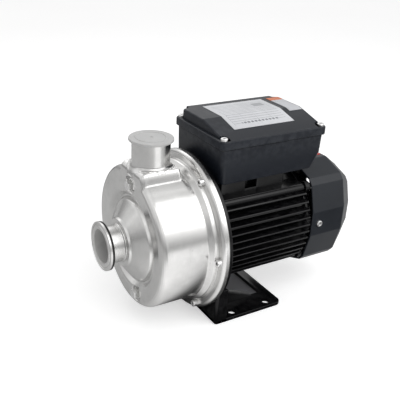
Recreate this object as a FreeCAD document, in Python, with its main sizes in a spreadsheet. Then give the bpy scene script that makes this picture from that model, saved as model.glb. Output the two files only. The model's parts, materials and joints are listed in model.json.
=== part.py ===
import FreeCAD, Part
import math
import os

import Sketcher

# Close-coupled centrifugal pump with a pressed stainless casing and a finned motor.
# Millimetres and degrees. +X runs along the shaft from the suction port to the fan, +Z is up.
# The origin lies on the underside of the foot, at the centre of its four bolt holes.

DIMENSIONS = [
    # Shaft line and foot
    ("axis_height", 90),
    ("foot_front_to_holes", 49),
    ("foot_length", 87.5),
    ("foot_width", 120),
    ("foot_thickness", 4),
    ("foot_corner_radius", 7),
    ("foot_bend_radius", 5),
    ("foot_hole_radius", 4.5),
    ("hole_spacing_x", 45),
    ("hole_spacing_y", 102),
    ("foot_wall_drop", 50),
    ("foot_return_length", 14),
    ("foot_motor_gap", 1.5),
    ("window_half_width", 33),
    ("window_rear_margin", 11),
    ("gusset_thickness", 3),
    ("gusset_height", 24),
    ("gusset_length", 59),
    ("gusset_tip_height", 0.5),
    ("foot_screw_angle", 36),
    ("foot_screw_depth", 5),
    # Motor bracket
    ("bracket_thickness", 8),
    ("bracket_radius", 83),
    ("spigot_length", 5),
    ("spigot_wall", 4),
    ("bracket_hub_radius", 25),
    # Casing cover, gasket and casing flange
    ("cover_wall", 2),
    ("gasket_thickness", 1),
    ("gasket_width", 9),
    ("casing_wall", 2),
    ("rim_gap", 0.3),
    ("rim_overlap", 2.7),
    ("rim_round", 4),
    ("bolt_edge_distance", 3),
    ("bolt_count", 6),
    ("bolt_first_angle", 30),
    ("bolt_shank_radius", 2),
    ("bolt_head_radius", 3.5),
    ("bolt_head_height", 4.5),
    ("bolt_thread_depth", 6),
    ("hole_clearance", 0.1),
    ("cut_margin", 1),
    # Casing drum and its front face
    ("flange_width", 11.5),
    ("casing_depth", 58.3),
    ("ridge_length", 8),
    ("ridge_height", 5),
    ("drum_edge_radius", 8),
    ("groove_from_drum", 25),
    ("groove_floor_width", 2),
    ("groove_depth", 5.5),
    ("groove_slope", 4),
    ("groove_lip", 2),
    ("dome_drop", 1.2),
    ("collar_radius", 24.5),
    ("dome_length", 10),
    ("collar_length", 2.5),
    ("press_bend", 1.2),
    # Suction port
    ("suction_bore", 17.5),
    ("neck_wall", 1.65),
    ("neck_length", 19),
    ("ferrule_radius", 25.25),
    ("ferrule_thickness", 2.5),
    ("seal_ring_width", 2.2),
    ("seal_ring_radius", 25.2),
    ("fit_gap", 0.05),
    # Discharge port and its transport cap
    ("outlet_from_flange", 35.6),
    ("outlet_radius", 19),
    ("outlet_wall", 1.65),
    ("outlet_height", 33),
    ("cap_radius", 22.25),
    ("cap_thickness", 2.6),
    ("cap_skirt", 12),
    ("cap_skirt_wall", 1.2),
    ("cap_ring_radius", 15),
    ("cap_ring_height", 0.5),
    ("cap_bevel", 0.5),
    ("cap_dimple_radius", 1.5),
    # Vent and drain plugs
    ("vent_from_drum", 10.5),
    ("drain_from_drum", 14.5),
    ("drain_angle", 15),
    ("plug_pocket_depth", 1),
    ("plug_pocket_radius", 8),
    ("plug_hex_radius", 5),
    ("plug_hex_height", 4),
    ("plug_thread_radius", 3),
    ("plug_thread_length", 6),
    ("plug_washer_radius", 5.2),
    ("plug_washer_thickness", 1),
    ("plug_boss_radius", 4.6),
    ("plug_boss_length", 4),
    # Diffuser and wear ring
    ("sheet_wall", 1.5),
    ("diffuser_gap", 6.5),
    ("diffuser_disc_from_cover", 26),
    ("wear_ring_length", 6),
    ("wear_ring_wall", 2.9),
    ("running_gap", 0.1),
    ("diffuser_rim", 2),
    ("diffuser_slot_count", 8),
    ("diffuser_slot_width", 16),
    ("diffuser_slot_height", 10),
    # Impeller
    ("impeller_tip_gap", 3.5),
    ("impeller_eye_radius", 18),
    ("impeller_eye_wall", 2),
    ("impeller_side_gap", 2),
    ("impeller_wall", 1.6),
    ("impeller_width", 8),
    ("impeller_taper", 4),
    ("impeller_hub_radius", 10.5),
    ("impeller_hub_rear", 3),
    ("impeller_hub_front", 1),
    ("impeller_hub_flare", 3),
    ("impeller_eye_setback", 1),
    ("vane_count", 6),
    ("vane_thickness", 1.8),
    ("vane_arc_radius", 38),
    ("vane_arc_offset", 26),
    ("nut_radius", 7.2),
    ("nut_length", 6.5),
    ("nut_flange_radius", 9),
    ("nut_flange_thickness", 1.5),
    ("key_width", 4),
    ("key_height", 4),
    ("key_length", 9),
    # Shaft
    ("shaft_thread_radius", 4),
    ("shaft_impeller_radius", 6),
    ("shaft_seal_radius", 7),
    ("shaft_rotor_radius", 10),
    ("shaft_fan_radius", 6.5),
    ("shaft_thread_spare", 1.5),
    ("shaft_fan_spare", 3),
    # Mechanical seal
    ("seal_cup_radius", 17.5),
    ("seal_cup_wall", 1.5),
    ("seal_cup_depth", 13),
    ("seal_cup_hole_radius", 9.5),
    ("seat_length", 6),
    ("seat_radius", 13.5),
    ("seat_bore_gap", 0.8),
    ("seat_rubber", 1),
    ("seal_face_length", 4.5),
    ("seal_face_radius", 12),
    ("seal_head_length", 4),
    ("seal_head_radius", 13.5),
    ("spring_wire_radius", 0.8),
    ("spring_radius", 10),
    ("spring_turns", 3),
    ("spring_crests", 3),
    # Bearings
    ("bearing_front_bore", 8.5),
    ("bearing_front_radius", 20),
    ("bearing_front_width", 12),
    ("bearing_rear_bore", 7.5),
    ("bearing_rear_radius", 17.5),
    ("bearing_rear_width", 11),
    ("bearing_ring_wall", 3),
    ("bearing_ball_count", 8),
    ("bearing_front_offset", 12),
    ("bearing_shoulder", 2.5),
    ("bearing_seat_wall", 4),
    ("preload_ring_thickness", 1),
    # Motor
    ("motor_bore_radius", 46),
    ("motor_wall", 5),
    ("motor_length", 115),
    ("fin_tip_radius", 61),
    ("fin_thickness", 2),
    ("fin_pitch", 8),
    ("fin_rows_each_side", 6),
    ("core_front_offset", 35),
    ("core_rear_margin", 22),
    ("air_gap", 0.3),
    ("rotor_radius", 27),
    ("winding_inner", 30),
    ("winding_outer", 43),
    ("winding_length", 14),
    ("end_ring_inner", 16),
    ("end_ring_outer", 25.5),
    ("end_ring_length", 7),
    ("tie_rod_circle", 56.5),
    ("tie_rod_radius", 2.4),
    ("tie_boss_radius", 4.8),
    ("tie_lug_radius", 7),
    ("tie_head_radius", 4.2),
    ("tie_head_height", 3.5),
    ("tie_end_margin", 2),
    # Rear shield, fan and fan cover
    ("shield_thickness", 6),
    ("shield_radius", 53),
    ("shield_lug_length", 17),
    ("shield_lug_width", 12),
    ("shield_lug_depth", 7),
    ("shield_lug_setback", 1),
    ("shield_shaft_gap", 2),
    ("fan_gap", 9),
    ("fan_radius", 43),
    ("fan_hub_radius", 12),
    ("fan_hub_length", 16),
    ("fan_disc_thickness", 2),
    ("fan_blade_length", 18),
    ("fan_blade_thickness", 2),
    ("fan_blade_count", 7),
    ("fan_blade_overhang", 8),
    ("hood_gap", 0.5),
    ("hood_wall", 2),
    ("hood_half_width", 56),
    ("hood_side_half", 14),
    ("hood_shoulder_y", 48),
    ("hood_shoulder_z", 43.5),
    ("hood_top_y", 42.5),
    ("hood_top_z", 50),
    ("hood_crown_y", 16),
    ("hood_crown_z", 60),
    ("hood_length", 44.5),
    ("hood_taper_length", 20),
    ("hood_taper_scale", 0.76),
    ("grille_radius", 37),
    ("grille_slot_height", 5),
    ("grille_slot_pitch", 9),
    ("grille_slot_count", 7),
    ("hood_screw_radius", 2),
    ("hood_screw_head_radius", 3.6),
    ("hood_screw_head_height", 2.2),
    ("hood_screw_offset", 10),
    # Terminal box
    ("pad_front_margin", 8),
    ("pad_rear_margin", 39),
    ("pad_half_width", 34),
    ("pad_height", 63.2),
    ("pad_notch_start", 31),
    ("pad_notch_width", 13),
    ("pad_notch_depth", 9),
    ("pad_notch_height", 14),
    ("box_front", 7),
    ("box_length", 127),
    ("box_half_width", 44.5),
    ("box_height", 36),
    ("box_wall", 2.5),
    ("box_chamfer_length", 11),
    ("box_chamfer_height", 17),
    ("box_hole_radius", 9),
    ("box_draft", 1),
    ("lid_gasket_thickness", 1),
    ("lid_gasket_width", 2.4),
    ("lip_overhang", 2),
    ("lip_height", 8.5),
    ("lid_wall", 2.5),
    ("lid_inset", 3.5),
    ("lid_rise", 10.5),
    ("lid_ridge_y", 3),
    ("lid_near_inset", 1.5),
    ("lid_screw_inset", 5.5),
    ("lid_notch_radius", 6.5),
    ("lid_screw_radius", 2),
    ("lid_screw_head_radius", 3.6),
    ("lid_screw_head_height", 2.6),
    ("lid_screw_bite", 10),
    ("lid_post_radius", 4.5),
    # Labels
    ("label_thickness", 0.4),
    ("plate_front", 25.5),
    ("plate_length", 75),
    ("plate_far_y", 33),
    ("plate_near_run", 25),
    ("side_label_front", 108),
    ("side_label_length", 17),
    ("side_label_far_y", 33),
    ("side_label_near_run", 7),
    ("arrow_label_rear_margin", 2),
    ("arrow_label_length", 22),
    ("arrow_label_width", 20),
    # Inside the terminal box
    ("board_length", 46),
    ("board_width", 24),
    ("board_height", 12),
    ("board_front", 22),
    ("board_y", 22),
    ("post_radius", 2),
    ("post_height", 9),
    ("post_count", 3),
    ("post_pitch", 14),
    ("post_row_half", 7),
    ("post_nut_radius", 3.8),
    ("post_nut_height", 2.4),
    ("board_screw_gap", 0.5),
    ("capacitor_radius", 14),
    ("capacitor_length", 54),
    ("capacitor_front", 22),
    ("capacitor_bevel", 1),
    ("capacitor_y", 15),
    ("strap_width", 12),
    ("strap_thickness", 1.2),
    ("strap_foot", 8),
    ("strap_front", 4),
    ("box_screw_radius", 2.4),
    ("box_screw_head_radius", 4.4),
    ("box_screw_head_height", 3),
    ("box_screw_pad_margin", 7),
    ("box_screw_half_y", 27),
    ("box_screw_depth", 10),
    ("earth_screw_from_end", 12),
    ("earth_screw_from_side", 14),
    # Cable gland
    ("gland_x", 55),
    ("gland_z", 18),
    ("gland_thread_radius", 8),
    ("gland_bore_radius", 5),
    ("gland_flange_radius", 10.3),
    ("gland_flange_length", 5),
    ("gland_neck_radius", 8),
    ("gland_neck_length", 7),
    ("gland_thread_spare", 1),
    ("gland_seal_wall", 1.2),
    ("gland_seal_squeeze", 1),
    ("gland_seal_stand_out", 1),
    ("gland_cap_radius", 10.5),
    ("gland_cap_gap", 1),
    ("gland_cap_bevel", 2),
]

doc = FreeCAD.newDocument("centrifugal_pump")
sheet = doc.addObject("Spreadsheet::Sheet", "Dims")
for row, (alias, number) in enumerate(DIMENSIONS, start=1):
    sheet.set("A%d" % row, alias)
    sheet.set("B%d" % row, str(number))
    sheet.setAlias("B%d" % row, alias)
doc.recompute()


class Size:
    """A number together with the sheet expression that gives it."""

    def __init__(self, number, text):
        self.number = float(number)
        self.text = text

    def __add__(self, other):
        other = as_size(other)
        return Size(self.number + other.number, "(%s + %s)" % (self.text, other.text))

    def __radd__(self, other):
        return as_size(other) + self

    def __sub__(self, other):
        other = as_size(other)
        return Size(self.number - other.number, "(%s - %s)" % (self.text, other.text))

    def __rsub__(self, other):
        return as_size(other) - self

    def __mul__(self, other):
        other = as_size(other)
        return Size(self.number * other.number, "%s * %s" % (self.text, other.text))

    def __rmul__(self, other):
        return as_size(other) * self

    def __truediv__(self, other):
        other = as_size(other)
        return Size(self.number / other.number, "%s / %s" % (self.text, other.text))

    def __neg__(self):
        return Size(-self.number, "(-1 * %s)" % self.text)


def as_size(value):
    """Turn a plain number into a Size."""
    if isinstance(value, Size):
        return value
    return Size(value, "(%r)" % float(value))


def dim(alias):
    """One cell of the sheet."""
    return Size(float(sheet.get(alias)), "Dims.%s" % alias)


def count(alias):
    """A cell that holds a whole number of copies."""
    return int(round(dim(alias).number))


def cosine(angle):
    """Cosine of a Size in degrees."""
    return Size(math.cos(math.radians(angle.number)), "cos(%s * 1 deg)" % angle.text)


def sine(angle):
    """Sine of a Size in degrees."""
    return Size(math.sin(math.radians(angle.number)), "sin(%s * 1 deg)" % angle.text)


def bind(obj, prop, value):
    """Tie a property to its expression."""
    obj.setExpression(prop, as_size(value).text)


def place(obj, x, y, z, rotation=None):
    """Bind an object's position, with a fixed rotation."""
    obj.Placement = FreeCAD.Placement(FreeCAD.Vector(), rotation or FreeCAD.Rotation())
    for axis, value in zip("xyz", (x, y, z)):
        bind(obj, ".Placement.Base." + axis, value)


X_AXIS = FreeCAD.Vector(1, 0, 0)
Y_AXIS = FreeCAD.Vector(0, 1, 0)
Z_AXIS = FreeCAD.Vector(0, 0, 1)
ALONG_X = FreeCAD.Rotation(Y_AXIS, 90)
ALONG_Y = FreeCAD.Rotation(X_AXIS, -90)
ALONG_Z = FreeCAD.Rotation()
AGAINST_X = FreeCAD.Rotation(Y_AXIS, -90)
AGAINST_Y = FreeCAD.Rotation(X_AXIS, 90)
AGAINST_Z = FreeCAD.Rotation(X_AXIS, 180)

pieces = []


def piece(label, obj):
    """Register a finished sub-part under its node name."""
    obj.Label = label
    pieces.append(obj)
    return obj


def origin_plane(body, role):
    """One of the body's own origin planes or axes."""
    return next(f for f in body.Origin.OriginFeatures if f.Role == role)


def closed_sketch(body, role, corners):
    """A closed outline whose corners are bound to the sheet."""
    sketch = body.newObject("Sketcher::SketchObject", body.Name + "_sketch")
    sketch.AttachmentSupport = (origin_plane(body, role), [""])
    sketch.MapMode = "FlatFace"
    corners = [(as_size(u), as_size(v)) for u, v in corners]
    total = len(corners)
    for i in range(total):
        here = corners[i]
        there = corners[(i + 1) % total]
        start = FreeCAD.Vector(here[0].number, here[1].number, 0)
        end = FreeCAD.Vector(there[0].number, there[1].number, 0)
        sketch.addGeometry(Part.LineSegment(start, end), False)
    for i in range(total):
        sketch.addConstraint(Sketcher.Constraint("Coincident", i, 2, (i + 1) % total, 1))
    for i, (u, v) in enumerate(corners):
        across = sketch.addConstraint(Sketcher.Constraint("DistanceX", -1, 1, i, 1, u.number))
        sketch.setExpression("Constraints[%d]" % across, u.text)
        up = sketch.addConstraint(Sketcher.Constraint("DistanceY", -1, 1, i, 1, v.number))
        sketch.setExpression("Constraints[%d]" % up, v.text)
    return sketch


def turned(name, profile, x=0, y=0, z=None):
    """A piece turned about a line parallel to X; the profile is (x, radius)."""
    body = doc.addObject("PartDesign::Body", name)
    sketch = closed_sketch(body, "XZ_Plane", profile)
    turn = body.newObject("PartDesign::Revolution", name + "_turn")
    turn.Profile = sketch
    turn.ReferenceAxis = (sketch, ["H_Axis"])
    turn.Angle = 360
    place(body, x, y, axis_z if z is None else z)
    return body


def turned_upright(name, profile, x, y, z=0, rotation=None):
    """A piece turned about its own Z axis; the profile is (radius, z)."""
    body = doc.addObject("PartDesign::Body", name)
    sketch = closed_sketch(body, "XZ_Plane", profile)
    turn = body.newObject("PartDesign::Revolution", name + "_turn")
    turn.Profile = sketch
    turn.ReferenceAxis = (sketch, ["V_Axis"])
    turn.Angle = 360
    place(body, x, y, z, rotation)
    return body


def prism(name, role, outline, length, x=0, y=0, z=0, reverse=False):
    """An outline in one origin plane, padded along that plane's normal."""
    body = doc.addObject("PartDesign::Body", name)
    sketch = closed_sketch(body, role, outline)
    pad = body.newObject("PartDesign::Pad", name + "_pad")
    pad.Profile = sketch
    bind(pad, "Length", length)
    pad.Reversed = reverse
    place(body, x, y, z)
    return body


def ring(name, x0, x1, inner, outer):
    """A plain ring about the shaft line."""
    return turned(name, [(x0, inner), (x1, inner), (x1, outer), (x0, outer)])


def box(name, x0, x1, y0, y1, z0, z1):
    """A block between two corners."""
    block = doc.addObject("Part::Box", name)
    bind(block, "Length", x1 - x0)
    bind(block, "Width", y1 - y0)
    bind(block, "Height", z1 - z0)
    place(block, x0, y0, z0)
    return block


def rod(name, radius, length, x, y, z, rotation):
    """A cylinder that starts at a point and runs in the given direction."""
    cylinder = doc.addObject("Part::Cylinder", name)
    bind(cylinder, "Radius", radius)
    bind(cylinder, "Height", length)
    place(cylinder, x, y, z, rotation)
    return cylinder


def hexagon(name, radius, length, x, y, z, rotation):
    """A hexagonal bar; the radius reaches its corners."""
    bar = doc.addObject("Part::Prism", name)
    bar.Polygon = 6
    bind(bar, "Circumradius", radius)
    bind(bar, "Height", length)
    place(bar, x, y, z, rotation)
    return bar


def fuse(name, shapes):
    """Several shapes made into one."""
    joined = doc.addObject("Part::MultiFuse", name)
    joined.Shapes = shapes
    joined.Refine = True
    return joined


def cut(name, base, tools):
    """A base with tools taken away."""
    if len(tools) > 1:
        tool = doc.addObject("Part::Compound", name + "_tools")
        tool.Links = tools
    else:
        tool = tools[0]
    result = doc.addObject("Part::Cut", name)
    result.Base = base
    result.Tool = tool
    return result


def common(name, shapes):
    """What several shapes share."""
    shared = doc.addObject("Part::MultiCommon", name)
    shared.Shapes = shapes
    return shared


def group(name, members):
    """Separate solids kept together in one sub-part."""
    together = doc.addObject("Part::Compound", name)
    together.Links = members
    return together


SOCKET_SHARE = 0.55


def socket_screw(name, shank_radius, shank_length, head_radius, head_height, x, y, z, rotation):
    """A socket-head screw; its head stands at the point and its shank runs in the direction."""
    direction = rotation.multVec(Z_AXIS)
    head = rod(name + "_head", head_radius, head_height, x, y, z, rotation)
    overlap = head_height / 2
    shank = rod(
        name + "_shank", shank_radius, shank_length + overlap,
        x + overlap * direction.x, y + overlap * direction.y, z + overlap * direction.z, rotation,
    )
    recess = hexagon(
        name + "_socket", head_radius * SOCKET_SHARE, head_height * SOCKET_SHARE, x, y, z, rotation,
    )
    return cut(name, fuse(name + "_body", [head, shank]), [recess])


def polar(radius, angle):
    """Y and Z on a circle about the shaft line; the angle runs from +Z towards -Y."""
    y = -radius * sine(as_size(angle))
    z = axis_z + radius * cosine(as_size(angle))
    return y, z


# Stations along the shaft line, from the bracket outwards
axis_z = dim("axis_height")
bracket_rear = -dim("foot_front_to_holes")
bracket_front = bracket_rear - dim("bracket_thickness")
cover_front = bracket_front - dim("cover_wall")
flange_rear = cover_front - dim("gasket_thickness")
flange_front = flange_rear - dim("casing_wall")
casing_front = flange_front - dim("casing_depth")
wall = dim("casing_wall")
clearance = dim("hole_clearance")
fit = dim("fit_gap")
over = dim("cut_margin")
rim_inner = dim("bracket_radius") + dim("rim_gap")
bolt_circle = dim("bracket_radius") - dim("bolt_edge_distance")
drum = dim("bracket_radius") - dim("flange_width")
rim_outer = rim_inner + wall
rim_rear = bracket_front + dim("rim_overlap")
motor_front = bracket_rear
motor_rear = motor_front + dim("motor_length")


def bolt_angles():
    """Angles of the casing bolts about the shaft line."""
    total = count("bolt_count")
    return [dim("bolt_first_angle") + 360.0 * i / total for i in range(total)]


def bolt_holes(name, x0, x1):
    """Clearance holes on the casing bolt circle."""
    holes = []
    radius = dim("bolt_shank_radius") + clearance
    for i, angle in enumerate(bolt_angles()):
        y, z = polar(bolt_circle, angle)
        holes.append(rod("%s_%d" % (name, i), radius, x1 - x0, x0, y, z, ALONG_X))
    return holes


# Casing: one pressed sheet from the collar of the suction port to the curled rim
neck_outer = dim("suction_bore") + dim("neck_wall")
collar_front = casing_front - dim("dome_length") - dim("collar_length")
dome_edge = casing_front + dim("dome_drop")
groove_floor = casing_front + dim("groove_depth")
groove_outer = drum - dim("groove_from_drum")
groove_inner = groove_outer - dim("groove_floor_width")
edge = dim("drum_edge_radius")
ARC_STEPS = 6


def quarter(centre_x, centre_r, radius):
    """Points of a quarter circle that turns from the -X side to the outer side."""
    points = []
    for i in range(ARC_STEPS + 1):
        angle = as_size(90.0 * i / ARC_STEPS)
        points.append((centre_x - radius * cosine(angle), centre_r + radius * sine(angle)))
    return points


def casing_profile():
    """Outer skin from the collar to the rim, then the inner skin back again."""
    ridge_front = flange_front - dim("ridge_length")
    ridge_mid = flange_front - dim("ridge_length") / 2
    ridge = drum + dim("ridge_height")
    rim_round = dim("rim_round")
    bend = dim("press_bend")
    half_bend = bend / 2
    half_wall = wall / 2
    collar = dim("collar_radius")
    collar_rear = collar_front + dim("collar_length")
    dome = groove_inner - dim("groove_lip")
    slope_end = groove_outer + dim("groove_slope")
    outer = [
        (collar_front, neck_outer + fit),
        (collar_front, collar),
        (collar_rear, collar + bend),
        (dome_edge - bend, dome - bend),
        (dome_edge, dome),
        (groove_floor, groove_inner),
        (groove_floor, groove_outer),
        (casing_front + bend, slope_end),
        (casing_front, slope_end + bend * 2),
    ]
    outer += quarter(casing_front + edge, drum - edge, edge)
    outer += [
        (ridge_front, drum),
        (ridge_mid, ridge - half_bend),
        (flange_front, ridge),
    ]
    outer += quarter(flange_front + rim_round, rim_outer - rim_round, rim_round)
    outer += [(rim_rear, rim_outer), (rim_rear, rim_inner), (flange_rear, rim_inner)]
    inner = [
        (flange_rear, ridge - wall),
        (ridge_mid + half_bend, ridge - half_bend - wall),
        (ridge_front + half_bend, drum - wall),
    ]
    inner += quarter(casing_front + edge, drum - edge, edge - wall)[::-1]
    inner += [
        (casing_front + wall, slope_end + bend * 3),
        (casing_front + bend + wall, slope_end + half_wall),
        (groove_floor + wall, groove_outer + half_wall),
        (groove_floor + wall, groove_inner - wall),
        (dome_edge + bend, dome - bend),
        (dome_edge + half_wall / 2, dome - wall),
        (collar_rear + bend, collar - bend),
        (collar_front + wall, collar - wall),
        (collar_front + wall, neck_outer + fit),
    ]
    return outer + inner


outlet_x = flange_front - dim("outlet_from_flange")
outlet_bore = dim("outlet_radius") - dim("outlet_wall")
drum_top = axis_z + drum
pocket_floor = casing_front + dim("plug_pocket_depth")
plug_places = {
    "vent": polar(drum - dim("vent_from_drum"), 0),
    "drain": polar(drum - dim("drain_from_drum"), 180 - dim("drain_angle")),
}


def plug_pockets(name, length):
    """Pocket shapes in the casing front round each plug."""
    start = pocket_floor - length
    radius = dim("plug_pocket_radius")
    return [
        rod(name + "_" + key, radius, length, start, y, z, ALONG_X)
        for key, (y, z) in plug_places.items()
    ]


def make_casing():
    shell = turned("casing_shell", casing_profile())
    seats = []
    for key, (y, z) in plug_places.items():
        radius = dim("plug_pocket_radius") + wall
        seats.append(rod("casing_seat_" + key, radius, wall, pocket_floor, y, z, ALONG_X))
    envelope = turned("casing_envelope", [
        (casing_front, 0), (casing_front, drum - edge),
        (casing_front + edge, drum), (casing_front + edge + wall, drum),
        (casing_front + edge + wall, 0),
    ])
    inside = common("casing_seats", [group("casing_seat_pair", seats), envelope])
    body = fuse("casing_body", [shell, inside])
    tools = plug_pockets("casing_pocket", dim("plug_pocket_depth") + over)
    for key, (y, z) in plug_places.items():
        radius = dim("plug_thread_radius") + clearance
        tools.append(rod("casing_port_" + key, radius, wall * 4, casing_front - wall, y, z, ALONG_X))
    tools.append(rod("casing_outlet", dim("outlet_radius") + fit, drum, outlet_x, 0, axis_z, ALONG_Z))
    tools += bolt_holes("casing_bolt_hole", flange_front - over, flange_rear + over)
    piece("pump_casing", cut("casing", body, tools))


make_casing()

# Suction ferrule, turned in one piece with its neck, and the rubber ring behind its flange
neck_front = collar_front - dim("neck_length")
neck_rear = collar_front + wall


def make_suction_port():
    flange_back = neck_front + dim("ferrule_thickness")
    piece("suction_ferrule", turned("ferrule", [
        (neck_front, dim("suction_bore")),
        (neck_front, dim("ferrule_radius")),
        (flange_back, dim("ferrule_radius")),
        (flange_back, neck_outer),
        (neck_rear, neck_outer),
        (neck_rear, dim("suction_bore")),
    ]))
    piece("suction_seal_ring", ring(
        "suction_ring", flange_back, flange_back + dim("seal_ring_width"),
        neck_outer + fit, dim("seal_ring_radius"),
    ))


make_suction_port()

# Discharge tube, saddled onto the drum, and its transport cap
outlet_top = drum_top + dim("outlet_height")


def make_discharge_port():
    radius = dim("outlet_radius")
    length = outlet_top - axis_z
    outside = rod("outlet_outside", radius, length, outlet_x, 0, axis_z, ALONG_Z)
    bore = rod("outlet_bore", outlet_bore, length + over * 2, outlet_x, 0, axis_z - over, ALONG_Z)
    inner_skin = quarter(casing_front + edge, drum - edge, edge - wall)
    drum_core = turned("outlet_drum_core", [(casing_front + wall, 0)] + inner_skin + [
        (flange_front, drum - wall), (flange_front, 0),
    ])
    piece("discharge_neck", cut("outlet", outside, [bore, drum_core]))
    skirt_outer = outlet_bore - fit
    skirt_inner = skirt_outer - dim("cap_skirt_wall")
    disc_top = dim("cap_thickness")
    disc_radius = dim("cap_radius")
    bevel = dim("cap_bevel")
    ring_radius = dim("cap_ring_radius")
    ring_top = disc_top + dim("cap_ring_height")
    dimple = dim("cap_dimple_radius")
    piece("discharge_cap", turned_upright("cap", [
        (0, disc_top - bevel),
        (0, bevel),
        (skirt_inner, bevel),
        (skirt_inner, -dim("cap_skirt")),
        (skirt_outer, -dim("cap_skirt")),
        (skirt_outer, 0),
        (disc_radius, 0),
        (disc_radius, disc_top - bevel),
        (disc_radius - bevel, disc_top),
        (ring_radius + bevel * 2, disc_top),
        (ring_radius + bevel, ring_top),
        (ring_radius - bevel, ring_top),
        (ring_radius - bevel * 2, disc_top),
        (dimple + bevel, disc_top),
        (dimple, disc_top - bevel),
    ], outlet_x, 0, outlet_top))


make_discharge_port()


def make_plugs():
    """Hexagon plugs with their washers, and the threaded bushes behind the casing wall."""
    bushes = []
    for key, (y, z) in plug_places.items():
        washer_front = pocket_floor - dim("plug_washer_thickness")
        washer_radius = dim("plug_washer_radius")
        bore = dim("plug_thread_radius") + fit
        washer = turned(key + "_washer_ring", [
            (washer_front, bore), (pocket_floor, bore),
            (pocket_floor, washer_radius), (washer_front, washer_radius),
        ], y=y, z=z)
        piece(key + "_washer", washer)
        head_front = washer_front - dim("plug_hex_height")
        head = hexagon(
            key + "_hex", dim("plug_hex_radius"), dim("plug_hex_height"), head_front, y, z, ALONG_X,
        )
        middle = head_front + dim("plug_hex_height") / 2
        length = pocket_floor + wall + dim("plug_thread_length") - middle
        thread = rod(key + "_thread", dim("plug_thread_radius"), length, middle, y, z, ALONG_X)
        piece(key + "_plug", fuse(key + "_plug_body", [head, thread]))
        back = pocket_floor + wall
        bush_end = back + dim("plug_boss_length")
        bush_radius = dim("plug_boss_radius")
        bushes.append(turned(key + "_bush", [
            (back, bore), (bush_end, bore), (bush_end, bush_radius), (back, bush_radius),
        ], y=y, z=z))
    piece("plug_bushes", group("plug_bush_pair", bushes))


make_plugs()

# Casing cover with its seal cup, and the gasket under the casing flange
cup_rear = bracket_front + dim("seal_cup_depth")
cup_outer = dim("seal_cup_radius")
cup_inner = cup_outer - dim("seal_cup_wall")


def make_cover():
    disc_radius = dim("bracket_radius")
    disc = turned("cover_disc", [
        (cover_front, cup_inner),
        (cover_front, disc_radius),
        (bracket_front, disc_radius),
        (bracket_front, cup_outer),
        (cup_rear, cup_outer),
        (cup_rear, dim("seal_cup_hole_radius")),
        (cup_rear - dim("seal_cup_wall"), dim("seal_cup_hole_radius")),
        (cup_rear - dim("seal_cup_wall"), cup_inner),
    ])
    cover_holes = bolt_holes("cover_hole", cover_front - over, bracket_front + over)
    piece("casing_cover", cut("cover", disc, cover_holes))
    gasket_inner = disc_radius - dim("gasket_width")
    gasket = ring("gasket_ring", flange_rear, cover_front, gasket_inner, disc_radius)
    holes = bolt_holes("gasket_hole", flange_rear - over, cover_front + over)
    piece("casing_gasket", cut("gasket", gasket, holes))


make_cover()


def make_casing_bolts():
    bolts = []
    head_x = flange_front - dim("bolt_head_height")
    length = bracket_front - flange_front + dim("bolt_thread_depth")
    for i, angle in enumerate(bolt_angles()):
        y, z = polar(bolt_circle, angle)
        bolts.append(socket_screw(
            "casing_bolt_%d" % i, dim("bolt_shank_radius"), length,
            dim("bolt_head_radius"), dim("bolt_head_height"), head_x, y, z, ALONG_X,
        ))
    piece("casing_bolts", group("casing_bolt_ring", bolts))


make_casing_bolts()

# Diffuser bowl round the impeller, with the wear ring at its eye
bowl_front = cover_front - dim("diffuser_disc_from_cover")
sheet_wall = dim("sheet_wall")
eye_outer = dim("impeller_eye_radius") + dim("impeller_eye_wall")
wear_inner = eye_outer + dim("running_gap")
wear_outer = wear_inner + dim("wear_ring_wall")
wear_front = bowl_front - dim("wear_ring_length")
bowl_radius = drum - wall - dim("diffuser_gap")
impeller_radius = bowl_radius - sheet_wall - dim("impeller_tip_gap")


def make_diffuser():
    tube_inner = dim("impeller_eye_radius")
    bowl = turned("diffuser_bowl", [
        (neck_rear, tube_inner),
        (neck_rear, tube_inner + sheet_wall),
        (wear_front - sheet_wall, tube_inner + sheet_wall),
        (wear_front - sheet_wall, wear_outer + sheet_wall),
        (bowl_front, wear_outer + sheet_wall),
        (bowl_front, bowl_radius),
        (cover_front, bowl_radius),
        (cover_front, bowl_radius - sheet_wall),
        (bowl_front + sheet_wall, bowl_radius - sheet_wall),
        (bowl_front + sheet_wall, wear_outer),
        (wear_front, wear_outer),
        (wear_front, tube_inner),
    ])
    slots = []
    slot_end = cover_front - dim("diffuser_rim")
    total = count("diffuser_slot_count")
    for i in range(total):
        slot = box(
            "diffuser_slot_%d" % i,
            slot_end - dim("diffuser_slot_height"), slot_end,
            -dim("diffuser_slot_width") / 2, dim("diffuser_slot_width") / 2,
            bowl_radius - sheet_wall * 2, bowl_radius + sheet_wall * 2,
        )
        place_round(slot, 360.0 * i / total)
        slots.append(slot)
    piece("diffuser", cut("diffuser_sheet", bowl, slots))
    piece("wear_ring", ring("wear_ring_body", wear_front, bowl_front, wear_inner, wear_outer))


def place_round(block, angle):
    """Turn a block that was placed from the X axis about the shaft line."""
    turn = FreeCAD.Rotation(X_AXIS, angle)
    start = {path: text for path, text in block.ExpressionEngine if path.startswith(".Placement.Base")}
    block.Placement = FreeCAD.Placement(FreeCAD.Vector(), turn)
    y_text = start[".Placement.Base.y"]
    z_text = start[".Placement.Base.z"]
    c = math.cos(math.radians(angle))
    s = math.sin(math.radians(angle))
    new_y = "%r * (%s) - %r * (%s)" % (c, y_text, s, z_text)
    new_z = "%s + %r * (%s) + %r * (%s)" % (axis_z.text, s, y_text, c, z_text)
    block.setExpression(".Placement.Base.y", new_y)
    block.setExpression(".Placement.Base.z", new_z)


make_diffuser()

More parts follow.
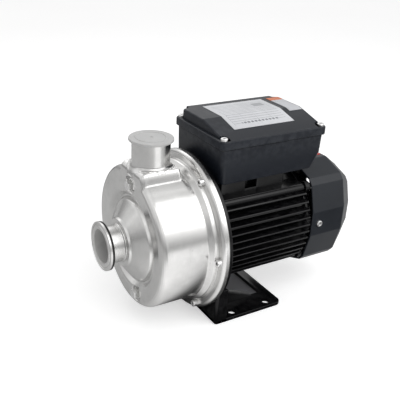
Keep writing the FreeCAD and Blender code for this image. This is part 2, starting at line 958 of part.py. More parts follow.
# Impeller between two shrouds, driven by a key and held by a nut
front_shroud_x = bowl_front + sheet_wall + dim("impeller_side_gap")
rear_shroud_x = front_shroud_x + dim("impeller_taper") + dim("impeller_width")
rear_shroud_end = rear_shroud_x + dim("impeller_wall")
hub_rear = rear_shroud_end + dim("impeller_hub_rear")
hub_front = front_shroud_x - dim("impeller_hub_front")
bore = dim("shaft_impeller_radius") + fit / 2


def make_impeller():
    radius = impeller_radius
    thick = dim("impeller_wall")
    taper = dim("impeller_taper")
    eye = dim("impeller_eye_radius")
    eye_front = wear_front + dim("impeller_eye_setback")
    half_thick = thick / 2
    hub = dim("impeller_hub_radius")
    front_shroud = turned("impeller_front", [
        (eye_front, eye),
        (eye_front, eye_outer),
        (front_shroud_x, eye_outer),
        (front_shroud_x + taper, radius),
        (front_shroud_x + taper + thick, radius),
        (front_shroud_x + thick, eye),
    ])
    rear_shroud = turned("impeller_rear", [
        (hub_front, bore),
        (hub_front, hub),
        (rear_shroud_x, hub + dim("impeller_hub_flare")),
        (rear_shroud_x, radius),
        (rear_shroud_end, radius),
        (rear_shroud_end, hub),
        (hub_rear, hub),
        (hub_rear, bore),
    ])
    passage = turned("impeller_passage", [
        (front_shroud_x + half_thick, eye),
        (front_shroud_x + taper + half_thick, radius),
        (rear_shroud_x + half_thick, radius),
        (rear_shroud_x + half_thick, eye),
    ])
    vanes = []
    total = count("vane_count")
    arc = dim("vane_arc_radius")
    offset = dim("vane_arc_offset")
    half = dim("vane_thickness") / 2
    length = rear_shroud_end - front_shroud_x
    for i in range(total):
        angle = as_size(360.0 * i / total)
        y, z = polar(offset, angle)
        turn = FreeCAD.Rotation(X_AXIS, angle.number).multiply(ALONG_X)
        outside = rod("vane_outside_%d" % i, arc + half, length, front_shroud_x, y, z, turn)
        outside.Angle = 180
        inside = rod("vane_inside_%d" % i, arc - half, length, front_shroud_x, y, z, turn)
        vanes.append(cut("vane_%d" % i, outside, [inside]))
    blades = common("impeller_blades", [group("vane_set", vanes), passage])
    whole = fuse("impeller_body", [front_shroud, rear_shroud, blades])
    half_key = dim("key_width") / 2 + fit
    keyway_top = axis_z + dim("shaft_impeller_radius") + dim("key_height") / 2
    keyway = box(
        "impeller_keyway", hub_front - over, hub_rear + over,
        -half_key, half_key, axis_z, keyway_top + fit,
    )
    piece("impeller", cut("impeller_whole", whole, [keyway]))
    key_mid = (hub_front + hub_rear) / 2
    piece("impeller_key", box(
        "key_block", key_mid - dim("key_length") / 2, key_mid + dim("key_length") / 2,
        -dim("key_width") / 2, dim("key_width") / 2,
        axis_z + dim("shaft_impeller_radius") - dim("key_height") / 2, keyway_top,
    ))


make_impeller()
flange_x = hub_front - dim("nut_flange_thickness")
nut_front = flange_x - dim("nut_length")
shaft_front = nut_front - dim("shaft_thread_spare")


def make_impeller_nut():
    """A flanged hexagon nut on the shaft's threaded end."""
    thread = dim("shaft_thread_radius") + fit
    length = hub_front - nut_front
    body = hexagon("nut_hex", dim("nut_radius"), length, nut_front, 0, axis_z, ALONG_X)
    flange = rod(
        "nut_flange", dim("nut_flange_radius"), dim("nut_flange_thickness"),
        flange_x, 0, axis_z, ALONG_X,
    )
    hole = rod("nut_hole", thread, length + over * 2, nut_front - over, 0, axis_z, ALONG_X)
    piece("impeller_nut", cut("nut", fuse("nut_body", [body, flange]), [hole]))


make_impeller_nut()

# Mechanical seal: a seat in the cover's cup, and a sprung face that turns with the shaft.
# The share says how thick a crest is beside the wire.
CREST_SHARE = 0.8
seat_rear = cup_rear - dim("seal_cup_wall")
seat_back = seat_rear - dim("seat_rubber")
seat_front = seat_back - dim("seat_length")
face_front = seat_front - dim("seal_face_length")
head_front = face_front - dim("seal_head_length")
seal_shaft = dim("shaft_seal_radius") + fit


def make_seal():
    seat_bore = dim("shaft_seal_radius") + dim("seat_bore_gap")
    piece("seal_seat", ring("seal_seat_body", seat_front, seat_back, seat_bore, dim("seat_radius")))
    rubber_front = seat_front + dim("seat_rubber")
    piece("seal_seat_cup", turned("seal_seat_rubber", [
        (rubber_front, dim("seat_radius")),
        (rubber_front, cup_inner),
        (seat_rear, cup_inner),
        (seat_rear, dim("seal_cup_hole_radius")),
        (seat_back, dim("seal_cup_hole_radius")),
        (seat_back, dim("seat_radius")),
    ]))
    piece("seal_face", ring(
        "seal_face_body", face_front, seat_front, seal_shaft, dim("seal_face_radius"),
    ))
    piece("seal_head", ring(
        "seal_head_body", head_front, face_front, seal_shaft, dim("seal_head_radius"),
    ))
    make_seal_spring()


def make_seal_spring():
    """Crest-to-crest wave spring: level rings, joined where the crests of two turns meet."""
    wire = dim("spring_wire_radius")
    turns = count("spring_turns")
    pitch = (head_front - hub_rear - 2 * wire) / turns
    members = []
    for i in range(turns + 1):
        turn = doc.addObject("Part::Torus", "seal_spring_turn_%d" % i)
        bind(turn, "Radius1", dim("spring_radius"))
        bind(turn, "Radius2", wire)
        place(turn, hub_rear + wire + pitch * i, 0, axis_z, ALONG_X)
        members.append(turn)
    crests = count("spring_crests")
    step = 360.0 / crests
    for i in range(turns):
        for j in range(crests):
            y, z = polar(dim("spring_radius"), step * (j + (i % 2) / 2))
            members.append(rod(
                "seal_spring_crest_%d%d" % (i, j), wire * CREST_SHARE, pitch,
                hub_rear + wire + pitch * i, y, z, ALONG_X,
            ))
    piece("seal_spring", fuse("seal_spring_coil", members))


make_seal()

# Bearings, with their seats in the bracket and in the rear shield
front_bearing_x = bracket_rear + dim("bearing_front_offset")
front_bearing_end = front_bearing_x + dim("bearing_front_width")
shield_end = motor_rear + dim("shield_thickness")
rear_bearing_end = shield_end - dim("bearing_shoulder") - dim("preload_ring_thickness")
rear_bearing_x = rear_bearing_end - dim("bearing_rear_width")


def make_bearing(name, x0, x1, inner, outer):
    thick = dim("bearing_ring_wall")
    piece(name + "_outer_ring", ring(name + "_outer", x0, x1, outer - thick, outer))
    piece(name + "_inner_ring", ring(name + "_inner", x0, x1, inner, inner + thick))
    balls = []
    gap = outer - inner - 2 * thick
    pitch = (outer + inner) / 2
    total = count("bearing_ball_count")
    for i in range(total):
        ball = doc.addObject("Part::Sphere", "%s_ball_%d" % (name, i))
        bind(ball, "Radius", gap / 2 - fit)
        y, z = polar(pitch, 360.0 * i / total)
        place(ball, (x0 + x1) / 2, y, z)
        balls.append(ball)
    piece(name + "_balls", group(name + "_ball_set", balls))


make_bearing(
    "front_bearing", front_bearing_x, front_bearing_end,
    dim("bearing_front_bore"), dim("bearing_front_radius"),
)
make_bearing(
    "rear_bearing", rear_bearing_x, rear_bearing_end,
    dim("bearing_rear_bore"), dim("bearing_rear_radius"),
)
piece("preload_ring", ring(
    "preload_ring_body", rear_bearing_end, rear_bearing_end + dim("preload_ring_thickness"),
    dim("bearing_rear_radius") - dim("bearing_ring_wall"), dim("bearing_rear_radius") - clearance * 2,
))

# Shaft, with a seat for each thing that turns on it
fan_x = shield_end + dim("fan_gap")
fan_end = fan_x + dim("fan_hub_length")
core_front = motor_front + dim("core_front_offset")
core_rear = motor_rear - dim("core_rear_margin")


def make_shaft():
    shaft_end = fan_end + dim("shaft_fan_spare")
    body = turned("shaft_body", [
        (shaft_front, 0),
        (shaft_front, dim("shaft_thread_radius")),
        (hub_front, dim("shaft_thread_radius")),
        (hub_front, dim("shaft_impeller_radius")),
        (hub_rear, dim("shaft_impeller_radius")),
        (hub_rear, dim("shaft_seal_radius")),
        (front_bearing_x, dim("shaft_seal_radius")),
        (front_bearing_x, dim("bearing_front_bore")),
        (front_bearing_end, dim("bearing_front_bore")),
        (front_bearing_end, dim("shaft_rotor_radius")),
        (rear_bearing_x, dim("shaft_rotor_radius")),
        (rear_bearing_x, dim("bearing_rear_bore")),
        (rear_bearing_end, dim("bearing_rear_bore")),
        (rear_bearing_end, dim("shaft_fan_radius")),
        (shaft_end, dim("shaft_fan_radius")),
        (shaft_end, 0),
    ])
    key_mid = (hub_front + hub_rear) / 2
    half = dim("key_width") / 2
    depth = axis_z + dim("shaft_impeller_radius") - dim("key_height") / 2
    keyway = box(
        "shaft_keyway", key_mid - dim("key_length") / 2, key_mid + dim("key_length") / 2,
        -half, half, depth, axis_z + dim("shaft_seal_radius"),
    )
    piece("shaft", cut("shaft_whole", body, [keyway]))


make_shaft()
piece("rotor_core", ring(
    "rotor_core_body", core_front, core_rear, dim("shaft_rotor_radius"), dim("rotor_radius"),
))
piece("rotor_end_rings", group("rotor_end_ring_pair", [
    ring(
        "rotor_end_ring_front", core_front - dim("end_ring_length"), core_front,
        dim("end_ring_inner"), dim("end_ring_outer"),
    ),
    ring(
        "rotor_end_ring_rear", core_rear, core_rear + dim("end_ring_length"),
        dim("end_ring_inner"), dim("end_ring_outer"),
    ),
]))
piece("stator_core", ring(
    "stator_core_body", core_front, core_rear,
    dim("rotor_radius") + dim("air_gap"), dim("motor_bore_radius") - fit,
))
piece("stator_windings", group("winding_pair", [
    ring(
        "winding_front", core_front - dim("winding_length"), core_front,
        dim("winding_inner"), dim("winding_outer"),
    ),
    ring(
        "winding_rear", core_rear, core_rear + dim("winding_length"),
        dim("winding_inner"), dim("winding_outer"),
    ),
]))

# Tie rods run at 45 degrees through the bracket, the housing bosses and the shield lugs
TIE_ANGLES = (45, 135, 225, 315)


def tie_holes(name, x0, x1):
    """Holes for the tie rods."""
    holes = []
    radius = dim("tie_rod_radius") + clearance
    for angle in TIE_ANGLES:
        y, z = polar(dim("tie_rod_circle"), angle)
        holes.append(rod("%s_%d" % (name, angle), radius, x1 - x0, x0, y, z, ALONG_X))
    return holes


tie_thread_x = bracket_front + dim("tie_end_margin")


def make_bracket():
    inner = cup_outer + dim("rim_gap")
    shoulder = front_bearing_x - dim("bearing_shoulder")
    spigot_end = bracket_rear + dim("spigot_length")
    spigot_outer = dim("motor_bore_radius") - fit
    spigot_inner = dim("motor_bore_radius") - dim("spigot_wall")
    seat = dim("bearing_front_radius")
    lip = seat - dim("bearing_shoulder")
    disc = turned("bracket_disc", [
        (bracket_front, inner),
        (bracket_front, dim("bracket_radius")),
        (bracket_rear, dim("bracket_radius")),
        (bracket_rear, spigot_outer),
        (spigot_end, spigot_outer),
        (spigot_end, spigot_inner),
        (bracket_rear, spigot_inner),
        (bracket_rear, dim("bracket_hub_radius")),
        (front_bearing_end, dim("bracket_hub_radius")),
        (front_bearing_end, seat),
        (front_bearing_x, seat),
        (front_bearing_x, lip),
        (shoulder, lip),
        (shoulder, inner),
    ])
    tools = tie_holes("bracket_tie", tie_thread_x, bracket_rear + over)
    tools += bolt_holes("bracket_bolt", bracket_front - over, bracket_front + dim("bolt_thread_depth"))
    tools += foot_screw_holes(
        "bracket_foot_hole", bracket_rear - dim("foot_screw_depth"), bracket_rear + over,
    )
    piece("motor_bracket", cut("bracket", disc, tools))


def foot_screw_places():
    """Two screws that hold the foot's wall to the bracket, either side of the lowest point."""
    radius = (dim("fin_tip_radius") + dim("foot_motor_gap") + dim("bracket_radius")) / 2
    angle = dim("foot_screw_angle")
    return [polar(radius, 180 - angle), polar(radius, 180 + angle)]


def foot_screw_holes(name, x0, x1):
    """Holes for the foot screws."""
    radius = dim("bolt_shank_radius") + clearance
    return [
        rod("%s_%d" % (name, i), radius, x1 - x0, x0, y, z, ALONG_X)
        for i, (y, z) in enumerate(foot_screw_places())
    ]


make_bracket()

# Foot: base plate with a window, front wall, side returns and two gussets
foot_front = bracket_rear
foot_rear = foot_front + dim("foot_length")
foot_half = dim("foot_width") / 2
plate_top = dim("foot_thickness")


def make_foot():
    thick = dim("foot_thickness")
    wall_top = axis_z - dim("foot_wall_drop")
    inner_face = foot_front + thick
    plate = box("foot_plate", foot_front, foot_rear, -foot_half, foot_half, 0, plate_top)
    front = box("foot_front_wall", foot_front, inner_face, -foot_half, foot_half, 0, wall_top)
    parts = [plate, front]
    reach = foot_front + dim("foot_return_length")
    parts.append(box("foot_return_near", foot_front, reach, -foot_half, thick - foot_half, 0, wall_top))
    parts.append(box("foot_return_far", foot_front, reach, foot_half - thick, foot_half, 0, wall_top))
    half = dim("window_half_width")
    gusset_outline = [
        (inner_face - over, plate_top - over),
        (inner_face + dim("gusset_length"), plate_top - over),
        (inner_face + dim("gusset_length"), plate_top + dim("gusset_tip_height")),
        (inner_face - over, plate_top + dim("gusset_height")),
    ]
    sheet_width = dim("gusset_thickness")
    parts.append(prism("foot_gusset_near", "XZ_Plane", gusset_outline, sheet_width, y=-half))
    parts.append(prism("foot_gusset_far", "XZ_Plane", gusset_outline, sheet_width, y=half + sheet_width))
    tools = [box(
        "foot_window", inner_face, foot_rear - dim("window_rear_margin"), -half, half,
        -over, plate_top + over,
    )]
    for i, sx in enumerate((-1, 1)):
        for j, sy in enumerate((-1, 1)):
            x = dim("hole_spacing_x") / 2 * sx
            y = dim("hole_spacing_y") / 2 * sy
            tools.append(rod(
                "foot_hole_%d%d" % (i, j), dim("foot_hole_radius"), thick + over * 2,
                x, y, -over, ALONG_Z,
            ))
    radius = dim("fin_tip_radius") + dim("foot_motor_gap")
    tools.append(rod(
        "foot_motor_cut", radius, thick + over * 2, foot_front - over, 0, axis_z, ALONG_X,
    ))
    tools += foot_screw_holes("foot_wall_hole", foot_front - over, inner_face + over)
    corner = dim("foot_corner_radius")
    bend = dim("foot_bend_radius")
    for name, side in (("near", -1), ("far", 1)):
        tools.append(edge_cut(
            "foot_corner_" + name, side, foot_rear - corner, foot_rear + over, corner, plate_top,
        ))
        tools.append(edge_cut(
            "foot_bend_" + name, side, foot_front + bend, foot_front - over, bend, wall_top,
        ))
    piece("foot", cut("foot_sheet", fuse("foot_whole", parts), tools))


def edge_cut(name, side, x_round, x_edge, radius, height):
    """What is left outside an upright rounded edge of the foot."""
    middle = (foot_half - radius) * side
    near = middle if side > 0 else middle - radius - over
    start, end = sorted((x_round, x_edge), key=lambda value: value.number)
    square = box(name + "_square", start, end, near, near + radius + over, -over, height + over)
    round_off = rod(name + "_round", radius, height + over * 4, x_round, middle, -over * 2, ALONG_Z)
    return cut(name, square, [round_off])


make_foot()


def make_foot_screws():
    screws = []
    head_x = foot_front + dim("foot_thickness") + dim("bolt_head_height")
    length = dim("foot_thickness") + dim("foot_screw_depth")
    for i, (y, z) in enumerate(foot_screw_places()):
        screws.append(socket_screw(
            "foot_screw_%d" % i, dim("bolt_shank_radius"), length,
            dim("bolt_head_radius"), dim("bolt_head_height"), head_x, y, z, AGAINST_X,
        ))
    piece("foot_screws", group("foot_screw_pair", screws))


make_foot_screws()

# Motor housing: tube, level fins, tie-rod bosses and the pad under the terminal box
box_x = motor_front + dim("box_front") - dim("lip_overhang")
box_end = box_x + dim("box_length")
pad_x = box_x + dim("pad_front_margin")
pad_end = box_end - dim("pad_rear_margin")
pad_top = axis_z + dim("pad_height")
lead_x = (pad_x + pad_end) / 2


def make_housing():
    bore_radius = dim("motor_bore_radius")
    tube_radius = bore_radius + dim("motor_wall")
    length = dim("motor_length")
    tips = dim("fin_tip_radius")
    tube = rod("housing_tube", tube_radius, length, motor_front, 0, axis_z, ALONG_X)
    fins = []
    rows = count("fin_rows_each_side")
    for i in range(-rows, rows):
        z = axis_z + dim("fin_pitch") * (i + 0.5) - dim("fin_thickness") / 2
        fins.append(box(
            "housing_fin_%d" % (i + rows), motor_front, motor_rear, -tips, tips,
            z, z + dim("fin_thickness"),
        ))
    round_bar = rod("housing_envelope", tips, length, motor_front, 0, axis_z, ALONG_X)
    fin_block = common("housing_fins", [fuse("housing_fin_set", fins), round_bar])
    bosses = []
    for angle in TIE_ANGLES:
        y, z = polar(dim("tie_rod_circle"), angle)
        bosses.append(rod(
            "housing_boss_%d" % angle, dim("tie_boss_radius"), length, motor_front, y, z, ALONG_X,
        ))
    pad_half = dim("pad_half_width")
    pad = box("housing_pad", pad_x, pad_end, -pad_half, pad_half, axis_z, pad_top)
    whole = fuse("housing_whole", [tube, fin_block, pad] + bosses)
    tools = [rod(
        "housing_bore", bore_radius, length + over * 2, motor_front - over, 0, axis_z, ALONG_X,
    )]
    tools += tie_holes("housing_tie", motor_front - over, motor_rear + over)
    notch_x = pad_x + dim("pad_notch_start")
    notch_z = pad_top - dim("pad_notch_height")
    notch_depth = dim("pad_notch_depth")
    for side, y in (("near", -pad_half - over), ("far", pad_half - notch_depth)):
        tools.append(box(
            "housing_notch_" + side, notch_x, notch_x + dim("pad_notch_width"),
            y, y + notch_depth + over, notch_z, pad_top + over,
        ))
    tools.append(rod(
        "housing_lead_hole", dim("box_hole_radius"), dim("pad_height"), lead_x, 0, axis_z, ALONG_Z,
    ))
    for i, (x, y) in enumerate(box_screw_places()):
        tools.append(rod(
            "housing_screw_hole_%d" % i, dim("box_screw_radius") + fit, dim("box_screw_depth") + over,
            x, y, pad_top - dim("box_screw_depth"), ALONG_Z,
        ))
    piece("motor_housing", cut("housing", whole, tools))


def box_screw_places():
    """Four screws between the terminal box floor and the pad."""
    places = []
    reach = (pad_end - pad_x) / 2 - dim("box_screw_pad_margin")
    for sx in (-1, 1):
        for sy in (-1, 1):
            places.append((lead_x + reach * sx, dim("box_screw_half_y") * sy))
    return places


make_housing()


def make_shield():
    """Rear end shield with the bearing seat, tie-rod lugs and two blocks for the fan cover."""
    bore_radius = dim("motor_bore_radius")
    seat = dim("bearing_rear_radius")
    lip = dim("bearing_shoulder")
    spigot_front = motor_rear - dim("spigot_length")
    spigot_inner = bore_radius - dim("spigot_wall")
    shaft_hole = dim("shaft_fan_radius") + dim("shield_shaft_gap")
    seat_outer = seat + dim("bearing_seat_wall")
    disc = turned("shield_disc", [
        (motor_rear, spigot_inner),
        (spigot_front, spigot_inner),
        (spigot_front, bore_radius - fit),
        (motor_rear, bore_radius - fit),
        (motor_rear, dim("shield_radius")),
        (shield_end, dim("shield_radius")),
        (shield_end, shaft_hole),
        (shield_end - lip, shaft_hole),
        (shield_end - lip, seat),
        (rear_bearing_x, seat),
        (rear_bearing_x, seat_outer),
        (motor_rear, seat_outer),
    ])
    parts = [disc]
    for angle in TIE_ANGLES:
        y, z = polar(dim("tie_rod_circle"), angle)
        parts.append(rod(
            "shield_lug_%d" % angle, dim("tie_lug_radius"), dim("shield_thickness"),
            motor_rear, y, z, ALONG_X,
        ))
    reach = dim("hood_half_width") - dim("hood_wall") - dim("rim_gap")
    half = dim("shield_lug_width") / 2
    block_x = motor_rear + dim("shield_lug_setback")
    for side, y in (("near", -reach), ("far", reach - dim("shield_lug_depth"))):
        parts.append(box(
            "shield_block_" + side, block_x, shield_end + dim("shield_lug_length"),
            y, y + dim("shield_lug_depth"), axis_z - half, axis_z + half,
        ))
    tools = tie_holes("shield_tie", motor_rear - over, shield_end + over)
    screw_x = hood_front + dim("hood_screw_offset")
    for side, rotation in (("near", AGAINST_Y), ("far", ALONG_Y)):
        tools.append(rod(
            "shield_screw_hole_" + side, dim("hood_screw_radius") + fit, dim("hood_half_width"),
            screw_x, 0, axis_z, rotation,
        ))
    piece("rear_shield", cut("shield", fuse("shield_whole", parts), tools))


hood_front = shield_end + dim("hood_gap")
hood_break = hood_front + dim("hood_length")
hood_rear = hood_break + dim("hood_taper_length")
make_shield()


def make_tie_rods():
    rods = []
    length = shield_end - tie_thread_x + over
    for angle in TIE_ANGLES:
        y, z = polar(dim("tie_rod_circle"), angle)
        head = hexagon(
            "tie_head_%d" % angle, dim("tie_head_radius"), dim("tie_head_height"),
            shield_end, y, z, ALONG_X,
        )
        shank = rod("tie_shank_%d" % angle, dim("tie_rod_radius"), length, tie_thread_x, y, z, ALONG_X)
        rods.append(fuse("tie_rod_%d" % angle, [head, shank]))
    piece("tie_rods", group("tie_rod_set", rods))


make_tie_rods()


def make_fan():
    hub_bore = dim("shaft_fan_radius") + fit / 2
    disc_x = fan_end - dim("fan_disc_thickness") * 2
    blade_end = disc_x + dim("fan_disc_thickness")
    disc_radius = dim("fan_radius") - dim("fan_blade_overhang")
    hub_radius = dim("fan_hub_radius")
    parts = [turned("fan_hub", [
        (fan_x, hub_bore),
        (fan_x, hub_radius),
        (disc_x, hub_radius),
        (disc_x, disc_radius),
        (blade_end, disc_radius),
        (blade_end, hub_radius),
        (fan_end, hub_radius),
        (fan_end, hub_bore),
    ])]
    total = count("fan_blade_count")
    for i in range(total):
        blade = box(
            "fan_blade_%d" % i, blade_end - dim("fan_blade_length"), blade_end,
            -dim("fan_blade_thickness") / 2, dim("fan_blade_thickness") / 2,
            hub_radius - over, dim("fan_radius"),
        )
        place_round(blade, 360.0 * i / total)
        parts.append(blade)
    piece("cooling_fan", fuse("fan_whole", parts))


make_fan()

# Fan cover: a hood of flat facets with a tapered rear end and a slotted grille.
# Each share says how much of the sheet thickness a corner of the section moves inwards.
SIDE_SHARE = 0.2
SHOULDER_SHARE = 0.6
TOP_SHARE_Y = 0.6
TOP_SHARE_Z = 0.84
CROWN_SHARE = 0.18


def hood_outline(inset, scale):
    """Sixteen corners of the hood's section, seen along X."""
    side_y = (dim("hood_half_width") - inset) * scale
    side_z = (dim("hood_side_half") - inset * SIDE_SHARE) * scale
    shoulder_y = (dim("hood_shoulder_y") - inset) * scale
    shoulder_z = (dim("hood_shoulder_z") - inset * SHOULDER_SHARE) * scale
    top_y = (dim("hood_top_y") - inset * TOP_SHARE_Y) * scale
    top_z = (dim("hood_top_z") - inset * TOP_SHARE_Z) * scale
    crown_y = (dim("hood_crown_y") - inset * CROWN_SHARE) * scale
    crown_z = (dim("hood_crown_z") - inset) * scale
    quadrant = [(side_y, side_z), (shoulder_y, shoulder_z), (top_y, top_z), (crown_y, crown_z)]
    corners = list(quadrant)
    corners += [(-y, z) for y, z in reversed(quadrant)]
    corners += [(-y, -z) for y, z in quadrant]
    corners += [(y, -z) for y, z in reversed(quadrant)]
    return corners


def hood_solid(name, inset, start, end_margin):
    """A straight length of hood with its tapered end, as one solid body."""
    body = doc.addObject("PartDesign::Body", name)
    straight = closed_sketch(body, "YZ_Plane", hood_outline(inset, as_size(1)))
    pad = body.newObject("PartDesign::Pad", name + "_pad")
    pad.Profile = straight
    bind(pad, "Length", hood_break - start)
    near = closed_sketch(body, "YZ_Plane", hood_outline(inset, as_size(1)))
    near.AttachmentOffset = FreeCAD.Placement()
    bind(near, ".AttachmentOffset.Base.z", hood_break - start)
    far = closed_sketch(body, "YZ_Plane", hood_outline(inset, dim("hood_taper_scale")))
    bind(far, ".AttachmentOffset.Base.z", hood_rear - end_margin - start)
    loft = body.newObject("PartDesign::AdditiveLoft", name + "_taper")
    loft.Profile = near
    loft.Sections = [far]
    loft.Ruled = True
    place(body, start, 0, axis_z)
    return body


def make_hood():
    outer = hood_solid("hood_outer", as_size(0), hood_front, as_size(0))
    inner = hood_solid("hood_inner", dim("hood_wall"), hood_front - over, dim("hood_wall"))
    slots = []
    total = count("grille_slot_count")
    reach = dim("grille_radius")
    grille_x = hood_rear - dim("hood_wall") * 2
    for i in range(total):
        z = axis_z + dim("grille_slot_pitch") * (i - (total - 1) / 2) - dim("grille_slot_height") / 2
        slots.append(box(
            "grille_slot_%d" % i, grille_x, hood_rear + over, -reach, reach,
            z, z + dim("grille_slot_height"),
        ))
    field = rod("grille_field", reach, dim("hood_wall") * 4, grille_x, 0, axis_z, ALONG_X)
    openings = common("grille_openings", [group("grille_slots", slots), field])
    tools = [inner, openings]
    screw_x = hood_front + dim("hood_screw_offset")
    tools.append(rod(
        "hood_screw_holes", dim("hood_screw_radius") + clearance, dim("hood_half_width") * 2 + over * 2,
        screw_x, -dim("hood_half_width") - over, axis_z, ALONG_Y,
    ))
    piece("fan_cover", cut("hood", outer, tools))
    screws = []
    for side, rotation, sign in (("near", ALONG_Y, -1), ("far", AGAINST_Y, 1)):
        y = (dim("hood_half_width") + dim("hood_screw_head_height")) * sign
        screws.append(socket_screw(
            "hood_screw_" + side, dim("hood_screw_radius"), dim("hood_wall") + dim("shield_lug_depth"),
            dim("hood_screw_head_radius"), dim("hood_screw_head_height"),
            screw_x, y, axis_z, rotation,
        ))
    piece("fan_cover_screws", group("hood_screw_pair", screws))


make_hood()

# Terminal box on the pad: base, gasket and lid
box_floor = pad_top
box_top = box_floor + dim("box_height")
lid_base = box_top + dim("lid_gasket_thickness")
lip_top = lid_base + dim("lip_height")
lid_top = lip_top + dim("lid_rise")
box_half = dim("box_half_width")
lid_x = box_x - dim("lip_overhang")
lid_end = box_end + dim("lip_overhang")
lid_half = box_half + dim("lip_overhang")


def lid_screw_places():
    """Corner screws of the lid."""
    inset = dim("lid_screw_inset")
    return [
        (lid_x + inset, -lid_half + inset),
        (lid_x + inset, lid_half - inset),
        (lid_end - inset, -lid_half + inset),
        (lid_end - inset, lid_half - inset),
    ]


def make_box_base():
    chamfer_x = dim("box_chamfer_length")
    chamfer_z = dim("box_chamfer_height")
    thick = dim("box_wall")
    draft = dim("box_draft")
    outline = [
        (box_x, box_top), (box_x + draft, box_floor), (box_end - chamfer_x, box_floor),
        (box_end - draft, box_floor + chamfer_z), (box_end, box_top),
    ]
    hollow = [
        (box_x + thick, box_top + over), (box_x + thick + draft, box_floor + thick),
        (box_end - chamfer_x - thick / 2, box_floor + thick),
        (box_end - draft - thick, box_floor + chamfer_z + thick / 4), (box_end - thick, box_top + over),
    ]
    outside = prism("box_outside", "XZ_Plane", outline, box_half * 2, y=box_half)
    inside = prism("box_inside", "XZ_Plane", hollow, (box_half - thick) * 2, y=box_half - thick)
    shell = cut("box_shell", outside, [inside])
    posts = []
    for i, (x, y) in enumerate(lid_screw_places()):
        posts.append(rod(
            "box_post_%d" % i, dim("lid_post_radius"), dim("box_height") - thick,
            x, y, box_floor + thick, ALONG_Z,
        ))
    kept = common("box_posts", [group("box_post_set", posts), prism(
        "box_post_limit", "XZ_Plane", outline, box_half * 2, y=box_half,
    )])
    through = thick + over * 2
    below = box_floor - over
    tools = [rod("box_lead_hole", dim("box_hole_radius"), through, lead_x, 0, below, ALONG_Z)]
    for i, (x, y) in enumerate(box_screw_places()):
        radius = dim("box_screw_radius") + clearance
        tools.append(rod("box_floor_hole_%d" % i, radius, through, x, y, below, ALONG_Z))
    for i, (x, y) in enumerate(lid_screw_places()):
        tools.append(rod(
            "box_thread_%d" % i, dim("lid_screw_radius") + fit, lid_screw_length() + over,
            x, y, box_top - dim("lid_screw_bite"), ALONG_Z,
        ))
    tools.append(rod(
        "box_gland_hole", dim("gland_thread_radius") + clearance, through,
        gland_x, box_half - thick - over, gland_z, ALONG_Y,
    ))
    earth_x, earth_y = earth_place()
    tools.append(rod(
        "box_earth_hole", dim("lid_screw_radius") + fit, thick + over, earth_x, earth_y, box_floor, ALONG_Z,
    ))
    piece("terminal_box_base", cut("box_base", fuse("box_base_whole", [shell, kept]), tools))


def lid_screw_length():
    """Shank length of a lid screw."""
    return dim("lid_screw_bite") + dim("lid_gasket_thickness") + dim("lip_height")


def earth_place():
    """X and Y of the earth screw on the box floor."""
    x = box_end - dim("box_chamfer_length") - dim("earth_screw_from_end")
    return x, dim("earth_screw_from_side") - box_half


gland_x = box_x + dim("gland_x")
gland_z = box_floor + dim("gland_z")
make_box_base()


def make_lid_gasket():
    width = dim("lid_gasket_width")
    outside = box("lid_gasket_outside", box_x, box_end, -box_half, box_half, box_top, lid_base)
    inside = box(
        "lid_gasket_inside", box_x + width, box_end - width, -box_half + width, box_half - width,
        box_top - over, lid_base + over,
    )
    frame = cut("lid_gasket_frame", outside, [inside])
    holes = []
    for i, (x, y) in enumerate(lid_screw_places()):
        holes.append(rod(
            "lid_gasket_hole_%d" % i, dim("lid_screw_radius") + clearance,
            dim("lid_gasket_thickness") + over * 2, x, y, box_top - over, ALONG_Z,
        ))
    piece("lid_gasket", cut("lid_gasket_body", frame, holes))


make_lid_gasket()


def lid_section(drop, side_inset, bottom):
    """Lid section seen along X: level far part, sloping near part."""
    near = dim("lid_near_inset") + side_inset - lid_half
    far = lid_half - dim("lid_inset") - side_inset
    return [
        (near, lip_top - drop), (-dim("lid_ridge_y"), lid_top - drop),
        (far, lid_top - drop), (far, bottom), (near, bottom),
    ]


def lid_solid(name):
    """The lid's lip and crown as one solid block."""
    inset = dim("lid_inset")
    lip = box(name + "_lip", lid_x, lid_end, -lid_half, lid_half, lid_base, lip_top)
    outline = lid_section(as_size(0), as_size(0), lid_base)
    length = lid_end - lid_x - 2 * inset
    crown = prism(name + "_crown", "YZ_Plane", outline, length, x=lid_x + inset)
    return fuse(name, [lip, crown])


def make_lid():
    thick = dim("lid_wall")
    reach = dim("lid_inset") + thick
    inner = prism(
        "lid_inner", "YZ_Plane", lid_section(thick, thick, lid_base - over),
        lid_end - lid_x - 2 * reach, x=lid_x + reach,
    )
    tools = []
    ears = []
    notch = dim("lid_notch_radius")
    for i, (x, y) in enumerate(lid_screw_places()):
        tools.append(rod("lid_notch_%d" % i, notch, dim("lid_rise") + over, x, y, lip_top, ALONG_Z))
        tools.append(rod(
            "lid_hole_%d" % i, dim("lid_screw_radius") + clearance, dim("lip_height") + over * 2,
            x, y, lid_base - over, ALONG_Z,
        ))
        ears.append(rod("lid_ear_%d" % i, notch + thick, lid_top - lid_base, x, y, lid_base, ALONG_Z))
    pillars = common("lid_pillars", [group("lid_ear_set", ears), lid_solid("lid_bounds")])
    shell = cut("lid_shell", lid_solid("lid_solid"), [inner])
    piece("terminal_box_lid", cut("lid", fuse("lid_whole", [shell, pillars]), tools))


make_lid()


def make_lid_screws():
    screws = []
    for i, (x, y) in enumerate(lid_screw_places()):
        screws.append(socket_screw(
            "lid_screw_%d" % i, dim("lid_screw_radius"), lid_screw_length(),
            dim("lid_screw_head_radius"), dim("lid_screw_head_height"),
            x, y, lip_top + dim("lid_screw_head_height"), AGAINST_Z,
        ))
    piece("lid_screws", group("lid_screw_set", screws))


make_lid_screws()

# Labels: thin plates that follow the lid and the hood


